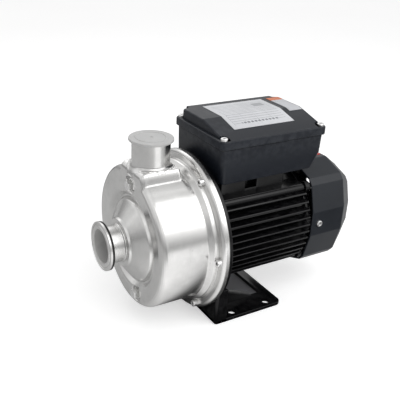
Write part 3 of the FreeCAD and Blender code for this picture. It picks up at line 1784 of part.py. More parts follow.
def make_labels():
    thick = dim("label_thickness")
    slope_run = lid_half - dim("lid_near_inset") - dim("lid_ridge_y")
    drop_rate = dim("lid_rise") / slope_run
    ridge = -dim("lid_ridge_y")
    for name, start in (("rating_plate", "plate"), ("side_label", "side_label")):
        far = dim(start + "_far_y")
        near = ridge - dim(start + "_near_run")
        near_z = lid_top - drop_rate * dim(start + "_near_run")
        piece(name, prism(name + "_body", "YZ_Plane", [
            (far, lid_top), (far, lid_top + thick), (ridge, lid_top + thick), (near, near_z + thick),
            (near, near_z), (ridge, lid_top),
        ], dim(start + "_length"), x=lid_x + dim(start + "_front")))
    label_end = hood_break - dim("arrow_label_rear_margin")
    hood_top = axis_z + dim("hood_crown_z")
    piece("rotation_label", box(
        "rotation_label_body", label_end - dim("arrow_label_length"), label_end,
        -dim("arrow_label_width") / 2, dim("arrow_label_width") / 2, hood_top, hood_top + thick,
    ))


make_labels()

# Inside the terminal box: connection board, posts, capacitor and its strap, screws
inner_floor = box_floor + dim("box_wall")


def make_box_contents():
    board_x = box_x + dim("board_front")
    board_y = -dim("board_y")
    board_top = inner_floor + dim("board_height")
    half = dim("board_width") / 2
    board = box(
        "board_body", board_x, board_x + dim("board_length"), board_y - half, board_y + half,
        inner_floor, board_top,
    )
    holes = []
    posts = []
    total = count("post_count")
    middle = board_x + dim("board_length") / 2
    for i in range(total):
        for j, side in enumerate((-1, 1)):
            x = middle + dim("post_pitch") * (i - (total - 1) / 2)
            y = board_y + dim("post_row_half") * side
            foot = board_top - dim("post_height") / 2
            mark = "%d%d" % (i, j)
            radius = dim("post_radius")
            height = dim("post_height")
            holes.append(rod("board_hole_" + mark, radius + fit, height, x, y, foot, ALONG_Z))
            stud = rod("post_stud_" + mark, radius, height, x, y, foot, ALONG_Z)
            nut = hexagon(
                "post_nut_" + mark, dim("post_nut_radius"), dim("post_nut_height"),
                x, y, board_top, ALONG_Z,
            )
            posts.append(fuse("post_" + mark, [stud, nut]))
    clear = []
    for i, (x, y) in enumerate(box_screw_places()):
        clear.append(rod(
            "board_clear_%d" % i, dim("box_screw_head_radius") + dim("board_screw_gap"),
            dim("board_height") + over * 2, x, y, inner_floor - over, ALONG_Z,
        ))
    piece("terminal_board", cut("board", board, holes + clear))
    piece("terminal_posts", group("post_set", posts))
    cap_x = box_x + dim("capacitor_front")
    cap_y = dim("capacitor_y")
    radius = dim("capacitor_radius")
    cap_z = inner_floor + dim("strap_thickness") + radius
    cap_end = cap_x + dim("capacitor_length")
    bevel = dim("capacitor_bevel")
    piece("run_capacitor", turned("capacitor_can", [
        (cap_x, 0), (cap_x, radius - bevel), (cap_x + bevel, radius),
        (cap_end - bevel, radius), (cap_end, radius - bevel), (cap_end, 0),
    ], y=cap_y, z=cap_z))
    strap_x = cap_x + dim("strap_front")
    thick = dim("strap_thickness")
    width = dim("strap_width")
    band = rod("strap_band", radius + thick, width, strap_x, cap_y, cap_z, ALONG_X)
    base = box(
        "strap_base", strap_x, strap_x + width, cap_y - radius - thick - dim("strap_foot"), cap_y,
        inner_floor, inner_floor + thick,
    )
    hollow = rod("strap_hollow", radius + fit, width + over * 2, strap_x - over, cap_y, cap_z, ALONG_X)
    piece("capacitor_strap", cut("strap", fuse("strap_whole", [band, base]), [hollow]))
    screws = []
    for i, (x, y) in enumerate(box_screw_places()):
        screws.append(socket_screw(
            "box_screw_%d" % i, dim("box_screw_radius"), dim("box_wall") + dim("box_screw_depth") - over,
            dim("box_screw_head_radius"), dim("box_screw_head_height"),
            x, y, inner_floor + dim("box_screw_head_height"), AGAINST_Z,
        ))
    piece("box_screws", group("box_screw_set", screws))
    earth_x, earth_y = earth_place()
    piece("earth_screw", socket_screw(
        "earth_screw_body", dim("lid_screw_radius"), dim("box_wall"),
        dim("lid_screw_head_radius"), dim("lid_screw_head_height"),
        earth_x, earth_y, inner_floor + dim("lid_screw_head_height"), AGAINST_Z,
    ))


make_box_contents()


def make_gland():
    """Cable gland in the far wall of the terminal box; its axis runs along Y."""
    bore_radius = dim("gland_bore_radius")
    flange_radius = dim("gland_flange_radius")
    neck_radius = dim("gland_neck_radius")
    flange = box_half + dim("gland_flange_length")
    neck = flange + dim("gland_neck_length")
    inner_end = box_half - dim("box_wall") - dim("gland_thread_spare")
    thread = dim("gland_thread_radius")
    pocket = bore_radius + dim("gland_seal_wall")
    piece("gland_body", turned_upright("gland_turned", [
        (bore_radius, inner_end), (thread, inner_end), (thread, box_half),
        (flange_radius, box_half), (flange_radius, flange),
        (neck_radius, flange), (neck_radius, neck),
        (pocket, neck), (pocket, flange), (bore_radius, flange),
    ], gland_x, 0, gland_z, ALONG_Y))
    seal_inner = bore_radius - dim("gland_seal_squeeze")
    seal_end = neck + dim("gland_seal_stand_out")
    piece("gland_seal", turned_upright("gland_rubber", [
        (seal_inner, flange), (pocket - fit, flange), (pocket - fit, seal_end), (seal_inner, seal_end),
    ], gland_x, 0, gland_z, ALONG_Y))
    bevel = dim("gland_cap_bevel")
    cap_end = seal_end + bevel
    cap_start = flange + dim("gland_cap_gap")
    cap_radius = dim("gland_cap_radius")
    piece("gland_cap", turned_upright("gland_cap_turned", [
        (neck_radius + fit, cap_start), (cap_radius, cap_start),
        (cap_radius, cap_end - bevel), (cap_radius - bevel, cap_end),
        (bore_radius, cap_end), (bore_radius, seal_end), (neck_radius + fit, seal_end),
    ], gland_x, 0, gland_z, ALONG_Y))


make_gland()

doc.recompute()

problems = []
for obj in doc.Objects:
    if any(state in ("Invalid", "Error") for state in obj.State):
        problems.append("%s is %s" % (obj.Name, obj.State))
for obj in pieces:
    shape = obj.Shape
    if shape.isNull() or not shape.isValid() or not shape.Solids:
        problems.append("%s has no valid solid" % obj.Label)
if problems:
    raise RuntimeError("; ".join(problems))

os.makedirs("parts", exist_ok=True)
for obj in pieces:
    obj.Shape.exportStep(os.path.join("parts", obj.Label + ".step"))
    box_text = obj.Shape.BoundBox
    print("%-20s solids %2d  volume %10.1f  x %.1f..%.1f y %.1f..%.1f z %.1f..%.1f" % (
        obj.Label, len(obj.Shape.Solids), obj.Shape.Volume,
        box_text.XMin, box_text.XMax, box_text.YMin, box_text.YMax, box_text.ZMin, box_text.ZMax,
    ))
print(len(pieces), "sub-parts")
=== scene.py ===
"""Visible skin of a close-coupled centrifugal pump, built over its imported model.

Shapes are worked out in millimetres in the part's frame: +X from the suction port to the fan,
+Z up, the shaft line at the height of the shaft's middle. They are put into meshes in metres.
"""

import json
import math

import bmesh
import bpy
import numpy as np
from bpy.props import FloatProperty, FloatVectorProperty, IntProperty, PointerProperty
from mathutils import Matrix, Vector


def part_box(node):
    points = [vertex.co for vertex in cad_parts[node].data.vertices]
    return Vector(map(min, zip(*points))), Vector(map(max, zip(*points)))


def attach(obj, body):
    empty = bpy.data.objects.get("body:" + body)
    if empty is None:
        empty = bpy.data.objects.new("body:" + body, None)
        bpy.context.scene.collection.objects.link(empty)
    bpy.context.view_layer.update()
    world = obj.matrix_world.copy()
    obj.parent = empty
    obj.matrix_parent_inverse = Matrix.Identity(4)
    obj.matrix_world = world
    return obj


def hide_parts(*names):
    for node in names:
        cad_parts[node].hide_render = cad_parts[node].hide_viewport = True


bl_info = {
    "name": "Centrifugal Pump Skin",
    "version": (1, 0, 0),
    "blender": (4, 5, 0),
    "location": "3D View > Sidebar > Pump",
    "description": "Builds the visible skin of a close-coupled centrifugal pump",
    "category": "Object",
}

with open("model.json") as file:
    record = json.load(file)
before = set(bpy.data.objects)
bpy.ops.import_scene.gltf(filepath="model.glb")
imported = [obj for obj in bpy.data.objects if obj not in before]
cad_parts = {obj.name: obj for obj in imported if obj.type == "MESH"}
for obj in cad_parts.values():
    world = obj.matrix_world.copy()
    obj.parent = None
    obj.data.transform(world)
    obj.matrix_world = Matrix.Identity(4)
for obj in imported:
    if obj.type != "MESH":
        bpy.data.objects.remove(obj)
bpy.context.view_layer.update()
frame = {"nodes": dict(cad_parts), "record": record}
MM = 0.001


def low(node):
    """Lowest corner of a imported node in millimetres."""
    return np.array(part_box(node)[0]) / MM


def high(node):
    """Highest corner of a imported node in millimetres."""
    return np.array(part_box(node)[1]) / MM


def middle(node):
    """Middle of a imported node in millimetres."""
    return (low(node) + high(node)) / 2


AXIS_Z = middle("shaft")[2]
COLLAR_X = low("pump_casing")[0]
SHAFT_LINE = (0, 0, AXIS_Z)
RIM_REAR_X = high("pump_casing")[0]
RIM_RADIUS = high("pump_casing")[1]
FRONT_X = COLLAR_X + 12.5
FLANGE_X = FRONT_X + 58.3
DRUM_RADIUS = 71.5
DRUM_EDGE = 8.0
SHEET = 2.0
SEAT_LEVEL = 79.5
SEAT_HALF = 22.0
SEAT_REAR = FLANGE_X - 16.5
FULLER_SHIFT = (6.0, 4.0)
NECK_RADIUS = 19.15
PORT_BORE = 17.5
OUTLET = middle("discharge_neck")
OUTLET_RADIUS = 19.0
OUTLET_BORE = 17.35
OUTLET_TOP = high("discharge_neck")[2]
MOTOR_FRONT = low("motor_housing")[0]
MOTOR_REAR = high("motor_housing")[0]
VENT = middle("vent_plug")
DRAIN = middle("drain_plug")
POCKET_X = high("vent_washer")[0]
THREAD_RADIUS = 3.0
POCKET_RADIUS = 8.3
POCKET_EDGE = 10.2
BOLT_CIRCLE = 80.0
TIE_ROD_CIRCLE = 56.5
TUBE_RADIUS = 51.0
FIN_RADIUS = 61.0
MOTOR_BORE = 46.0
HOOD_RADIUS = 56.0
SLOT_CIRCLE = 34.0
BOX_HALF = 44.5
LID_LIP_DROP = 10.5
LID_RIDGE_Y = -3.0
FOOT_SHEET = 4.0
POLE = 0.01
SHARP_ANGLE = 32
DIRECTIONS = {
    "x": np.array([[1.0, 0, 0], [0, 0, 1.0], [0, -1.0, 0]]),
    "-x": np.array([[-1.0, 0, 0], [0, 0, 1.0], [0, 1.0, 0]]),
    "y": np.array([[0, 1.0, 0], [1.0, 0, 0], [0, 0, 1.0]]),
    "-y": np.array([[0, -1.0, 0], [1.0, 0, 0], [0, 0, -1.0]]),
    "z": np.array([[0, 0, 1.0], [1.0, 0, 0], [0, 1.0, 0]]),
}


# Shapes: each is (points, four-sided faces, flat end faces)


def rounded(corners, steps=6, closed=True, support=0.3):
    """Corners (u, v, radius) with each one replaced by an arc tangent to both its sides.

    The arc's centre lies on the corner's bisector at radius / sin(half the angle). One more
    point follows each end of the arc along the side, so that long sides stay flat.
    """
    table = np.array(corners, float)
    at, radius = table[:, :2], table[:, 2]
    before = np.roll(at, 1, 0) - at
    after = np.roll(at, -1, 0) - at
    long_before = np.linalg.norm(before, axis=1)
    long_after = np.linalg.norm(after, axis=1)
    before = before / long_before[:, None]
    after = after / long_after[:, None]
    bisector = before + after
    size = np.linalg.norm(bisector, axis=1)
    straight = size < 1e-6
    across = np.stack([-after[:, 1], after[:, 0]], 1)
    bisector = np.where(straight[:, None], across, bisector / np.maximum(size, 1e-9)[:, None])
    cos_half = np.clip((before * bisector).sum(1), 1e-6, 1)
    sin_half = np.maximum(np.sqrt(np.maximum(1 - cos_half**2, 0)), 1e-6)
    tan_half = sin_half / cos_half
    room = 0.46 * np.minimum(long_before, long_after)
    reach = np.where(straight, 0, np.minimum(radius / tan_half, room))
    true_radius = reach * tan_half
    centre = at + bisector * (true_radius / sin_half)[:, None]
    turn = np.pi / 2 - np.arcsin(sin_half)
    side = after - (after * bisector).sum(1)[:, None] * bisector
    side = side / np.maximum(np.linalg.norm(side, axis=1), 1e-9)[:, None]
    angle = turn[:, None] * np.linspace(-1, 1, steps + 1)
    arc = (
        centre[:, None]
        - bisector[:, None] * (true_radius[:, None] * np.cos(angle))[..., None]
        + side[:, None] * (true_radius[:, None] * np.sin(angle))[..., None]
    )
    extra = np.minimum(support, 0.04 * np.minimum(long_before, long_after))[:, None]
    first = arc[:, :1] + (before * extra)[:, None]
    last = arc[:, -1:] + (after * extra)[:, None]
    points = np.concatenate([first, arc, last], 1)
    if closed:
        return points.reshape(-1, 2)
    ends = points[1:-1].reshape(-1, 2)
    return np.concatenate([at[:1], ends, at[-1:]])


def densify(line, longest, lowest, highest):
    """Adds points to an open line where its second value lies between two limits."""
    step = np.linalg.norm(np.diff(line, axis=0), axis=1)
    along = np.concatenate([[0], np.cumsum(step)])
    regular = np.arange(0, along[-1], longest)
    level = np.interp(regular, along, line[:, 1])
    regular = regular[(level > lowest) & (level < highest)]
    places = np.unique(np.round(np.concatenate([along, regular]), 4))
    return np.stack([np.interp(places, along, line[:, i]) for i in (0, 1)], 1)


def grid_faces(rows, columns, wrap_rows, wrap_columns):
    """Four-sided faces of a grid; a wrapped direction joins its last line to its first."""
    i = np.arange(rows if wrap_rows else rows - 1)[:, None]
    j = np.arange(columns if wrap_columns else columns - 1)[None, :]
    ni, nj = (i + 1) % rows, (j + 1) % columns
    faces = np.stack([i * columns + j, ni * columns + j, ni * columns + nj, i * columns + nj], -1)
    return faces.reshape(-1, 4)


def surface(grid, wrap_rows=True, wrap_columns=True, caps=False):
    """A grid of points as a shape; caps close the first and last column with flat faces."""
    rows, columns = grid.shape[:2]
    faces = grid_faces(rows, columns, wrap_rows, wrap_columns)
    ends = []
    if caps:
        ring = np.arange(rows) * columns
        ends = [ring[::-1], ring + columns - 1]
    return grid.reshape(-1, 3), faces, ends


def spokes(t, b, c):
    """Directions square to an axis at the angles t, from b towards c."""
    return np.cos(t)[:, None] * b + np.sin(t)[:, None] * c


def turned(profile, origin, axis, steps=96, angles=None, closed=True):
    """A profile (along, radius) turned about an axis through the origin.

    p(t, s) = origin + along(s) * a + radius(s) * (cos t * b + sin t * c).
    """
    a, b, c = DIRECTIONS[axis]
    t = np.arange(steps) * (2 * np.pi / steps) if angles is None else angles
    spoke = spokes(t, b, c)
    grid = (
        np.asarray(origin, float)
        + profile[None, :, :1] * a
        + profile[None, :, 1:] * spoke[:, None, :]
    )
    return surface(grid, True, closed)


def cylinder(start, end, radius, origin, axis, steps):
    """A plain closed cylinder along an axis."""
    line = np.array([(start, POLE), (start, radius), (end, radius), (end, POLE)])
    return turned(line, origin, axis, steps)


def lofted(outline, stations, origin, axis):
    """An outline carried along an axis; a station is (along, inset, scale).

    p(s, k) = origin + along(s) * a + scale(s) * (outline(k) - inset(s) * normal(k)).
    """
    a, b, c = DIRECTIONS[axis]
    outline = np.asarray(outline, float)
    along_line = np.roll(outline, -1, 0) - np.roll(outline, 1, 0)
    normal = np.stack([along_line[:, 1], -along_line[:, 0]], 1)
    normal /= np.maximum(np.linalg.norm(normal, axis=1), 1e-9)[:, None]
    area = (outline[:, 0] * np.roll(outline[:, 1], -1) - outline[:, 1] * np.roll(outline[:, 0], -1)).sum()
    normal *= np.sign(area)
    table = np.array(stations, float)
    flat = table[None, :, 2, None] * (outline[:, None] - table[None, :, 1, None] * normal[:, None])
    grid = (
        np.asarray(origin, float)
        + table[None, :, :1] * a
        + flat[..., :1] * b
        + flat[..., 1:] * c
    )
    return surface(grid, True, False, caps=True)


def edge_stations(start, end, radius, steps=4):
    """Stations of a straight piece whose two end edges are rounded by a quarter circle."""
    t = np.linspace(0, np.pi / 2, steps + 1)
    first = np.stack([start + radius * (1 - np.cos(t)), radius * (1 - np.sin(t))], 1)
    last = np.stack([end - first[::-1, 0] + start, first[::-1, 1]], 1)
    table = np.concatenate([first, last])
    return np.column_stack([table, np.ones(len(table))])


def upright_box(stations, radius, steps=5):
    """Rounded rectangles stacked upwards; a station is (z, x0, x1, y0, y1).

    Each corner is a quarter circle about a centre one radius inside both sides.
    """
    table = np.array(stations, float)
    t = np.linspace(0, np.pi / 2, steps + 1)
    quadrants = np.concatenate([t, t + np.pi / 2, t + np.pi, t + 1.5 * np.pi])
    corner = np.repeat(np.arange(4), steps + 1)
    x_high = np.isin(corner, (0, 3))
    y_high = np.isin(corner, (0, 1))
    z, x0, x1, y0, y1 = table.T
    x = np.where(x_high[:, None], x1 - radius, x0 + radius) + radius * np.cos(quadrants)[:, None]
    y = np.where(y_high[:, None], y1 - radius, y0 + radius) + radius * np.sin(quadrants)[:, None]
    grid = np.stack([x, y, np.broadcast_to(z, x.shape)], -1)
    return surface(grid, True, False, caps=True)


def block(x0, x1, y0, y1, z0, z1, radius=1.0, edge=0.5):
    """An upright block with rounded corners and softened top and bottom edges."""
    lift = [
        (z, x0 + inset, x1 - inset, y0 + inset, y1 - inset)
        for z, inset, _ in edge_stations(z0, z1, edge, 3)
    ]
    return upright_box(lift, radius)


def hexagon_reach(radius, t):
    """Distance from the middle of a hexagon to its side at angle t; radius is to a corner."""
    return radius * math.cos(math.pi / 6) / np.cos((t % (math.pi / 3)) - math.pi / 6)


def headed(rings, origin, axis, steps=72):
    """A screw-like head: rings of (height, round radius, hexagon radius), from base to top.

    Where the hexagon radius is above zero, the ring follows a hexagon, cut back by the
    round radius, so a chamfered head is a hexagon limited by a growing circle.
    """
    a, b, c = DIRECTIONS[axis]
    t = np.arange(steps) * (2 * np.pi / steps)
    table = np.array(rings, float)
    six = hexagon_reach(1.0, t)[:, None] * table[None, :, 2]
    reach = np.where(table[None, :, 2] > 0, np.minimum(six, table[None, :, 1]), table[None, :, 1])
    spoke = spokes(t, b, c)
    grid = (
        np.asarray(origin, float)
        + table[None, :, :1] * a
        + reach[..., None] * spoke[:, None, :]
    )
    return surface(grid, True, False)


def socket_head(radius, height, socket, origin, axis, dome=0.5):
    """A cap screw's head, standing along the axis, with a hexagonal socket."""
    t = np.linspace(0, np.pi / 2, 5)
    edge = [
        (height - dome + dome * s, radius - dome + dome * k, 0)
        for s, k in zip(np.sin(t), np.cos(t))
    ]
    rings = [(0, 0.001, 0), (0, radius, 0), (0.2, radius, 0), (height - dome - 0.2, radius, 0)]
    rings += edge
    rings += [
        (height, socket * 1.22, 0), (height, socket * 1.12, 0), (height - 0.35, radius, socket),
        (height * 0.45, radius, socket), (height * 0.4, socket * 0.75, 0), (height * 0.33, 0.001, 0),
    ]
    return headed(rings, origin, axis)


def hexagon_head(radius, height, origin, axis):
    """A hexagon head with a chamfered top and a round, slightly sunk face."""
    flat = radius * math.cos(math.pi / 6)
    rings = [
        (0, 0.001, 0), (0, flat * 0.96, 0), (0.25, radius + 0.1, radius),
        (height - 0.9, radius + 0.1, radius), (height - 0.55, radius * 0.985, radius),
        (height - 0.25, radius * 0.93, radius), (height, flat * 0.93, 0),
        (height - 0.12, flat * 0.84, 0), (height - 0.12, flat * 0.3, 0), (height - 0.12, 0.001, 0),
    ]
    return headed(rings, origin, axis)


def threaded(radius, depth, pitch, start, end, origin, axis, steps=48):
    """A thread: the radius falls by depth in a triangle wave of along / pitch - t / 2 pi."""
    a, b, c = DIRECTIONS[axis]
    t = np.arange(steps) * (2 * np.pi / steps)
    along = np.linspace(start, end, int(abs(end - start) / pitch * 8) + 1)
    wave = np.abs(2 * ((along[None, :] / pitch - t[:, None] / (2 * np.pi)) % 1) - 1)
    reach = radius - depth * wave
    reach[:, 0] = radius - depth
    reach[:, -1] = radius - depth
    spoke = spokes(t, b, c)
    grid = np.asarray(origin, float) + along[None, :, None] * a + reach[..., None] * spoke[:, None, :]
    return surface(grid, True, False, caps=True)


def joined(*shapes):
    """Several shapes as one."""
    counts = np.cumsum([0] + [len(s[0]) for s in shapes])
    points = np.concatenate([s[0] for s in shapes])
    faces = np.concatenate([s[1] + n for s, n in zip(shapes, counts)])
    ends = [end + n for s, n in zip(shapes, counts) for end in s[2]]
    return points, faces, ends


def fill_mesh(name, shape):
    """A mesh from a shape: doubles merged, poles closed, faces outward, smooth but for sharp edges."""
    points, faces, ends = shape
    mesh = bpy.data.meshes.new(name)
    sizes = np.concatenate([np.full(len(faces), 4)] + [[len(end)] for end in ends]).astype(int)
    loops = np.concatenate([faces.ravel()] + list(ends)).astype(np.int32)
    mesh.vertices.add(len(points))
    mesh.vertices.foreach_set("co", (points * MM).astype(np.float32).ravel())
    mesh.loops.add(len(loops))
    mesh.loops.foreach_set("vertex_index", loops)
    mesh.polygons.add(len(sizes))
    starts = np.concatenate([[0], np.cumsum(sizes)[:-1]]).astype(np.int32)
    mesh.polygons.foreach_set("loop_start", starts)
    mesh.update(calc_edges=True)
    tidy_mesh(mesh)
    return mesh


def tidy_mesh(mesh):
    """Merges doubles, drops faces without area, turns faces outward and marks sharp edges."""
    work = bmesh.new()
    work.from_mesh(mesh)
    bmesh.ops.remove_doubles(work, verts=work.verts, dist=2e-6)
    bmesh.ops.dissolve_degenerate(work, edges=work.edges, dist=1e-6)
    bmesh.ops.recalc_face_normals(work, faces=work.faces)
    work.to_mesh(mesh)
    work.free()
    mesh.polygons.foreach_set("use_smooth", np.ones(len(mesh.polygons), bool))
    mesh.set_sharp_from_angle(angle=math.radians(SHARP_ANGLE))


def carve(mesh, cutter):
    """Takes a closed cutter shape away from a mesh."""
    scene = bpy.context.scene
    body = bpy.data.objects.new("carved", mesh)
    tool = bpy.data.objects.new("cutter", fill_mesh("cutter", cutter))
    scene.collection.objects.link(body)
    scene.collection.objects.link(tool)
    step = body.modifiers.new("Cut", "BOOLEAN")
    step.operation = "DIFFERENCE"
    step.solver = "EXACT"
    step.object = tool
    depsgraph = bpy.context.evaluated_depsgraph_get()
    result = bpy.data.meshes.new_from_object(body.evaluated_get(depsgraph))
    bpy.data.objects.remove(body)
    bpy.data.objects.remove(tool)
    if not result.polygons:
        raise RuntimeError("cutting %s left nothing" % mesh.name)
    tidy_mesh(result)
    result.name = mesh.name
    return result


def place_piece(name, mesh, finish, nodes=(), body="frame"):
    """Links a mesh as a piece with its finish, and lets it ride on a body in place of nodes."""
    if not isinstance(mesh, bpy.types.Mesh):
        mesh = fill_mesh(name, mesh)
    piece = bpy.data.objects.new(name, mesh)
    bpy.context.scene.collection.objects.link(piece)
    mesh.materials.clear()
    mesh.materials.append(finish_of(finish))
    if nodes:
        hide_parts(*nodes)
    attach(piece, body)
    return piece


# Finishes: shared effects are node groups, shaders stay in the materials


def new_group(name, inputs, outputs):
    """An empty shader node group with named float, colour or vector sockets."""
    group = bpy.data.node_groups.new(name, "ShaderNodeTree")
    kinds = {"float": "NodeSocketFloat", "vector": "NodeSocketVector", "color": "NodeSocketColor"}
    for label, kind, value in inputs:
        socket = group.interface.new_socket(name=label, in_out="INPUT", socket_type=kinds[kind])
        if value is not None:
            socket.default_value = value
    for label, kind in outputs:
        group.interface.new_socket(name=label, in_out="OUTPUT", socket_type=kinds[kind])
    return group, group.nodes.new("NodeGroupInput"), group.nodes.new("NodeGroupOutput")


def add(tree, kind, links=(), **values):
    """A node with properties and socket values; links feed its inputs by name or number."""
    node = tree.nodes.new(kind)
    for key, value in values.items():
        if hasattr(node, key):
            setattr(node, key, value)
        else:
            node.inputs[key.replace("_", " ")].default_value = value
    for key, source in links:
        tree.links.new(source, node.inputs[key])
    return node


def maths(tree, operation, first, second=None):
    """A Math node; each term is a socket or a number."""
    node = tree.nodes.new("ShaderNodeMath")
    node.operation = operation
    for i, term in enumerate((first, second)):
        if term is None:
            continue
        if isinstance(term, (int, float)):
            node.inputs[i].default_value = term
        else:
            tree.links.new(term, node.inputs[i])
    return node.outputs[0]


def times(tree, first, second):
    """The product of two values."""
    return maths(tree, "MULTIPLY", first, second)


def plus(tree, first, second):
    """The sum of two values."""
    return maths(tree, "ADD", first, second)


def minus(tree, first, second):
    """The difference of two values."""
    return maths(tree, "SUBTRACT", first, second)


def larger(tree, first, second):
    """The larger of two values."""
    return maths(tree, "MAXIMUM", first, second)


def within(tree, value, start, end):
    """1 where a value lies between two limits."""
    return times(tree, maths(tree, "GREATER_THAN", value, start), maths(tree, "LESS_THAN", value, end))


def ramp(tree, source, low_at, high_at, to_low=0.0, to_high=1.0):
    """A clamped linear map of a value."""
    node = add(tree, "ShaderNodeMapRange", [("Value", source)], clamp=True)
    limits = {"From Min": low_at, "From Max": high_at, "To Min": to_low, "To Max": to_high}
    for label, value in limits.items():
        node.inputs[label].default_value = value
    return node.outputs[0]


def axes(tree, vector):
    """The x, y and z of a vector."""
    return add(tree, "ShaderNodeSeparateXYZ", [(0, vector)]).outputs


def noise_of(tree, vector, scale, **values):
    """A noise value; scale is a socket or a number."""
    if isinstance(scale, float):
        return add(tree, "ShaderNodeTexNoise", [("Vector", vector)], Scale=scale, **values).outputs[0]
    return add(tree, "ShaderNodeTexNoise", [("Vector", vector), ("Scale", scale)], **values).outputs[0]


def mix_color(tree, mask, first, second):
    """A colour mix; each colour is a socket or a tuple."""
    node = tree.nodes.new("ShaderNodeMix")
    node.data_type = "RGBA"
    tree.links.new(mask, node.inputs[0])
    for i, color in ((6, first), (7, second)):
        if isinstance(color, (tuple, list)):
            node.inputs[i].default_value = (*color[:3], 1)
        else:
            tree.links.new(color, node.inputs[i])
    return node.outputs[2]


def lathe_lines_group():
    """Fine lines round the shaft line: noise of (along, distance from the axis)."""
    group, start, end = new_group(
        "Lathe lines",
        [("Vector", "vector", None), ("Axis height", "float", 0.09), ("Scale", "float", 900.0)],
        [("Height", "float"), ("Mask", "float"), ("Reach", "float")],
    )
    x, y, z = axes(group, start.outputs["Vector"])
    rise = minus(group, z, start.outputs["Axis height"])
    square = plus(group, maths(group, "POWER", y, 2.0), maths(group, "POWER", rise, 2.0))
    reach = maths(group, "SQRT", square)
    flat = add(group, "ShaderNodeCombineXYZ", [(0, x), (1, reach)])
    noise = noise_of(group, flat.outputs[0], start.outputs["Scale"], Detail=2.0)
    group.links.new(noise, end.inputs["Height"])
    group.links.new(ramp(group, noise, 0.35, 0.65), end.inputs["Mask"])
    group.links.new(reach, end.inputs["Reach"])
    return group


def uneven_group():
    """Broad unevenness of a finish: two sizes of noise, one riding on the other."""
    group, start, end = new_group(
        "Uneven finish",
        [("Vector", "vector", None), ("Scale", "float", 18.0), ("Contrast", "float", 1.0)],
        [("Mask", "float"), ("Fine", "float")],
    )
    where, scale = start.outputs["Vector"], start.outputs["Scale"]
    wide = noise_of(group, where, scale, Detail=3.0, Roughness=0.55)
    fine = noise_of(group, where, times(group, scale, 9.0), Detail=4.0)
    both = plus(group, times(group, wide, 0.7), times(group, fine, 0.3))
    centred = times(group, minus(group, both, 0.5), start.outputs["Contrast"])
    group.links.new(ramp(group, centred, -0.18, 0.18), end.inputs["Mask"])
    group.links.new(fine, end.inputs["Fine"])
    return group


def grain_group():
    """Fine pitted texture of paint or a moulded face: noise over small cells."""
    group, start, end = new_group(
        "Fine grain",
        [("Vector", "vector", None), ("Scale", "float", 2200.0)],
        [("Height", "float"), ("Mask", "float")],
    )
    where, scale = start.outputs["Vector"], start.outputs["Scale"]
    noise = noise_of(group, where, scale, Detail=2.0, Roughness=0.6)
    coarse = times(group, scale, 0.45)
    cells = add(group, "ShaderNodeTexVoronoi", [("Vector", where), ("Scale", coarse)])
    height = plus(group, times(group, noise, 0.6), times(group, cells.outputs[0], 0.4))
    group.links.new(height, end.inputs["Height"])
    group.links.new(ramp(group, height, 0.3, 0.7), end.inputs["Mask"])
    return group


def curved_group(name, start_at, end_at, scale, detail, fade):
    """A mask that grows with the surface's pointiness, broken up by noise that fade maps."""
    group, start, end = new_group(
        name, [("Vector", "vector", None), ("Start", "float", start_at), ("End", "float", end_at)],
        [("Mask", "float")],
    )
    shape = group.nodes.new("ShaderNodeNewGeometry")
    noise = noise_of(group, start.outputs["Vector"], scale, Detail=detail)
    limits = [("From Min", start.outputs["Start"]), ("From Max", start.outputs["End"])]
    curved = add(
        group, "ShaderNodeMapRange", [("Value", shape.outputs["Pointiness"])] + limits, clamp=True,
    )
    group.links.new(times(group, curved.outputs[0], ramp(group, noise, *fade)), end.inputs["Mask"])
    return group


def worn_edge_group():
    """Edges lightened by wear and by a painted highlight: where the surface is sharply convex."""
    return curved_group("Worn edges and painted highlight", 0.52, 0.6, 160.0, 4.0, (0.4, 0.62))


def crease_group():
    """Painted shade in pressed hollows: darker where the surface is concave."""
    return curved_group("Painted crease shade", 0.495, 0.455, 90.0, 3.0, (0.3, 0.6, 0.6, 1.0))


def dust_group():
    """Light dust: more on faces that look up, in soft patches."""
    group, start, end = new_group(
        "Settled dust", [("Vector", "vector", None), ("Amount", "float", 0.2)], [("Mask", "float")],
    )
    shape = group.nodes.new("ShaderNodeNewGeometry")
    upward = ramp(group, axes(group, shape.outputs["Normal"])[2], 0.2, 1.0)
    noise = noise_of(group, start.outputs["Vector"], 45.0, Detail=6.0, Roughness=0.7)
    mask = times(group, upward, ramp(group, noise, 0.38, 0.72))
    group.links.new(times(group, mask, start.outputs["Amount"]), end.inputs["Mask"])
    return group


GROUPS = {}
FINISHES = {}


def shared(name):
    """A shared effect, built the first time it is asked for."""
    builders = {
        "lathe": lathe_lines_group, "uneven": uneven_group, "grain": grain_group,
        "edge_wear_highlight": worn_edge_group, "crease": crease_group, "dust": dust_group,
    }
    if name not in GROUPS:
        GROUPS[name] = builders[name]()
    return GROUPS[name]


def effect(tree, name, vector, **values):
    """The outputs of one shared effect placed in a material with its own values."""
    node = tree.nodes.new("ShaderNodeGroup")
    node.node_tree = shared(name)
    tree.links.new(vector, node.inputs["Vector"])
    for key, value in values.items():
        node.inputs[key.replace("_", " ")].default_value = value
    return node.outputs


def new_finish(name, metallic=0.0, **sockets):
    """A material with its own shader; returns material, tree, shader and object coordinates."""
    material = bpy.data.materials.new(name)
    material.use_nodes = True
    tree = material.node_tree
    shader = tree.nodes["Principled BSDF"]
    shader.inputs["Metallic"].default_value = metallic
    for key, value in sockets.items():
        shader.inputs[key.replace("_", " ")].default_value = value
    coordinates = tree.nodes.new("ShaderNodeTexCoord").outputs["Object"]
    return material, tree, shader, coordinates


def feed(tree, shader, color, gloss, height, strength, distance):
    """Feeds a shader's colour and roughness, and its normal through a Bump node."""
    bump = add(tree, "ShaderNodeBump", [("Height", height)], Strength=strength, Distance=distance)
    for label, source in (("Base Color", color), ("Roughness", gloss), ("Normal", bump.outputs[0])):
        tree.links.new(source, shader.inputs[label])


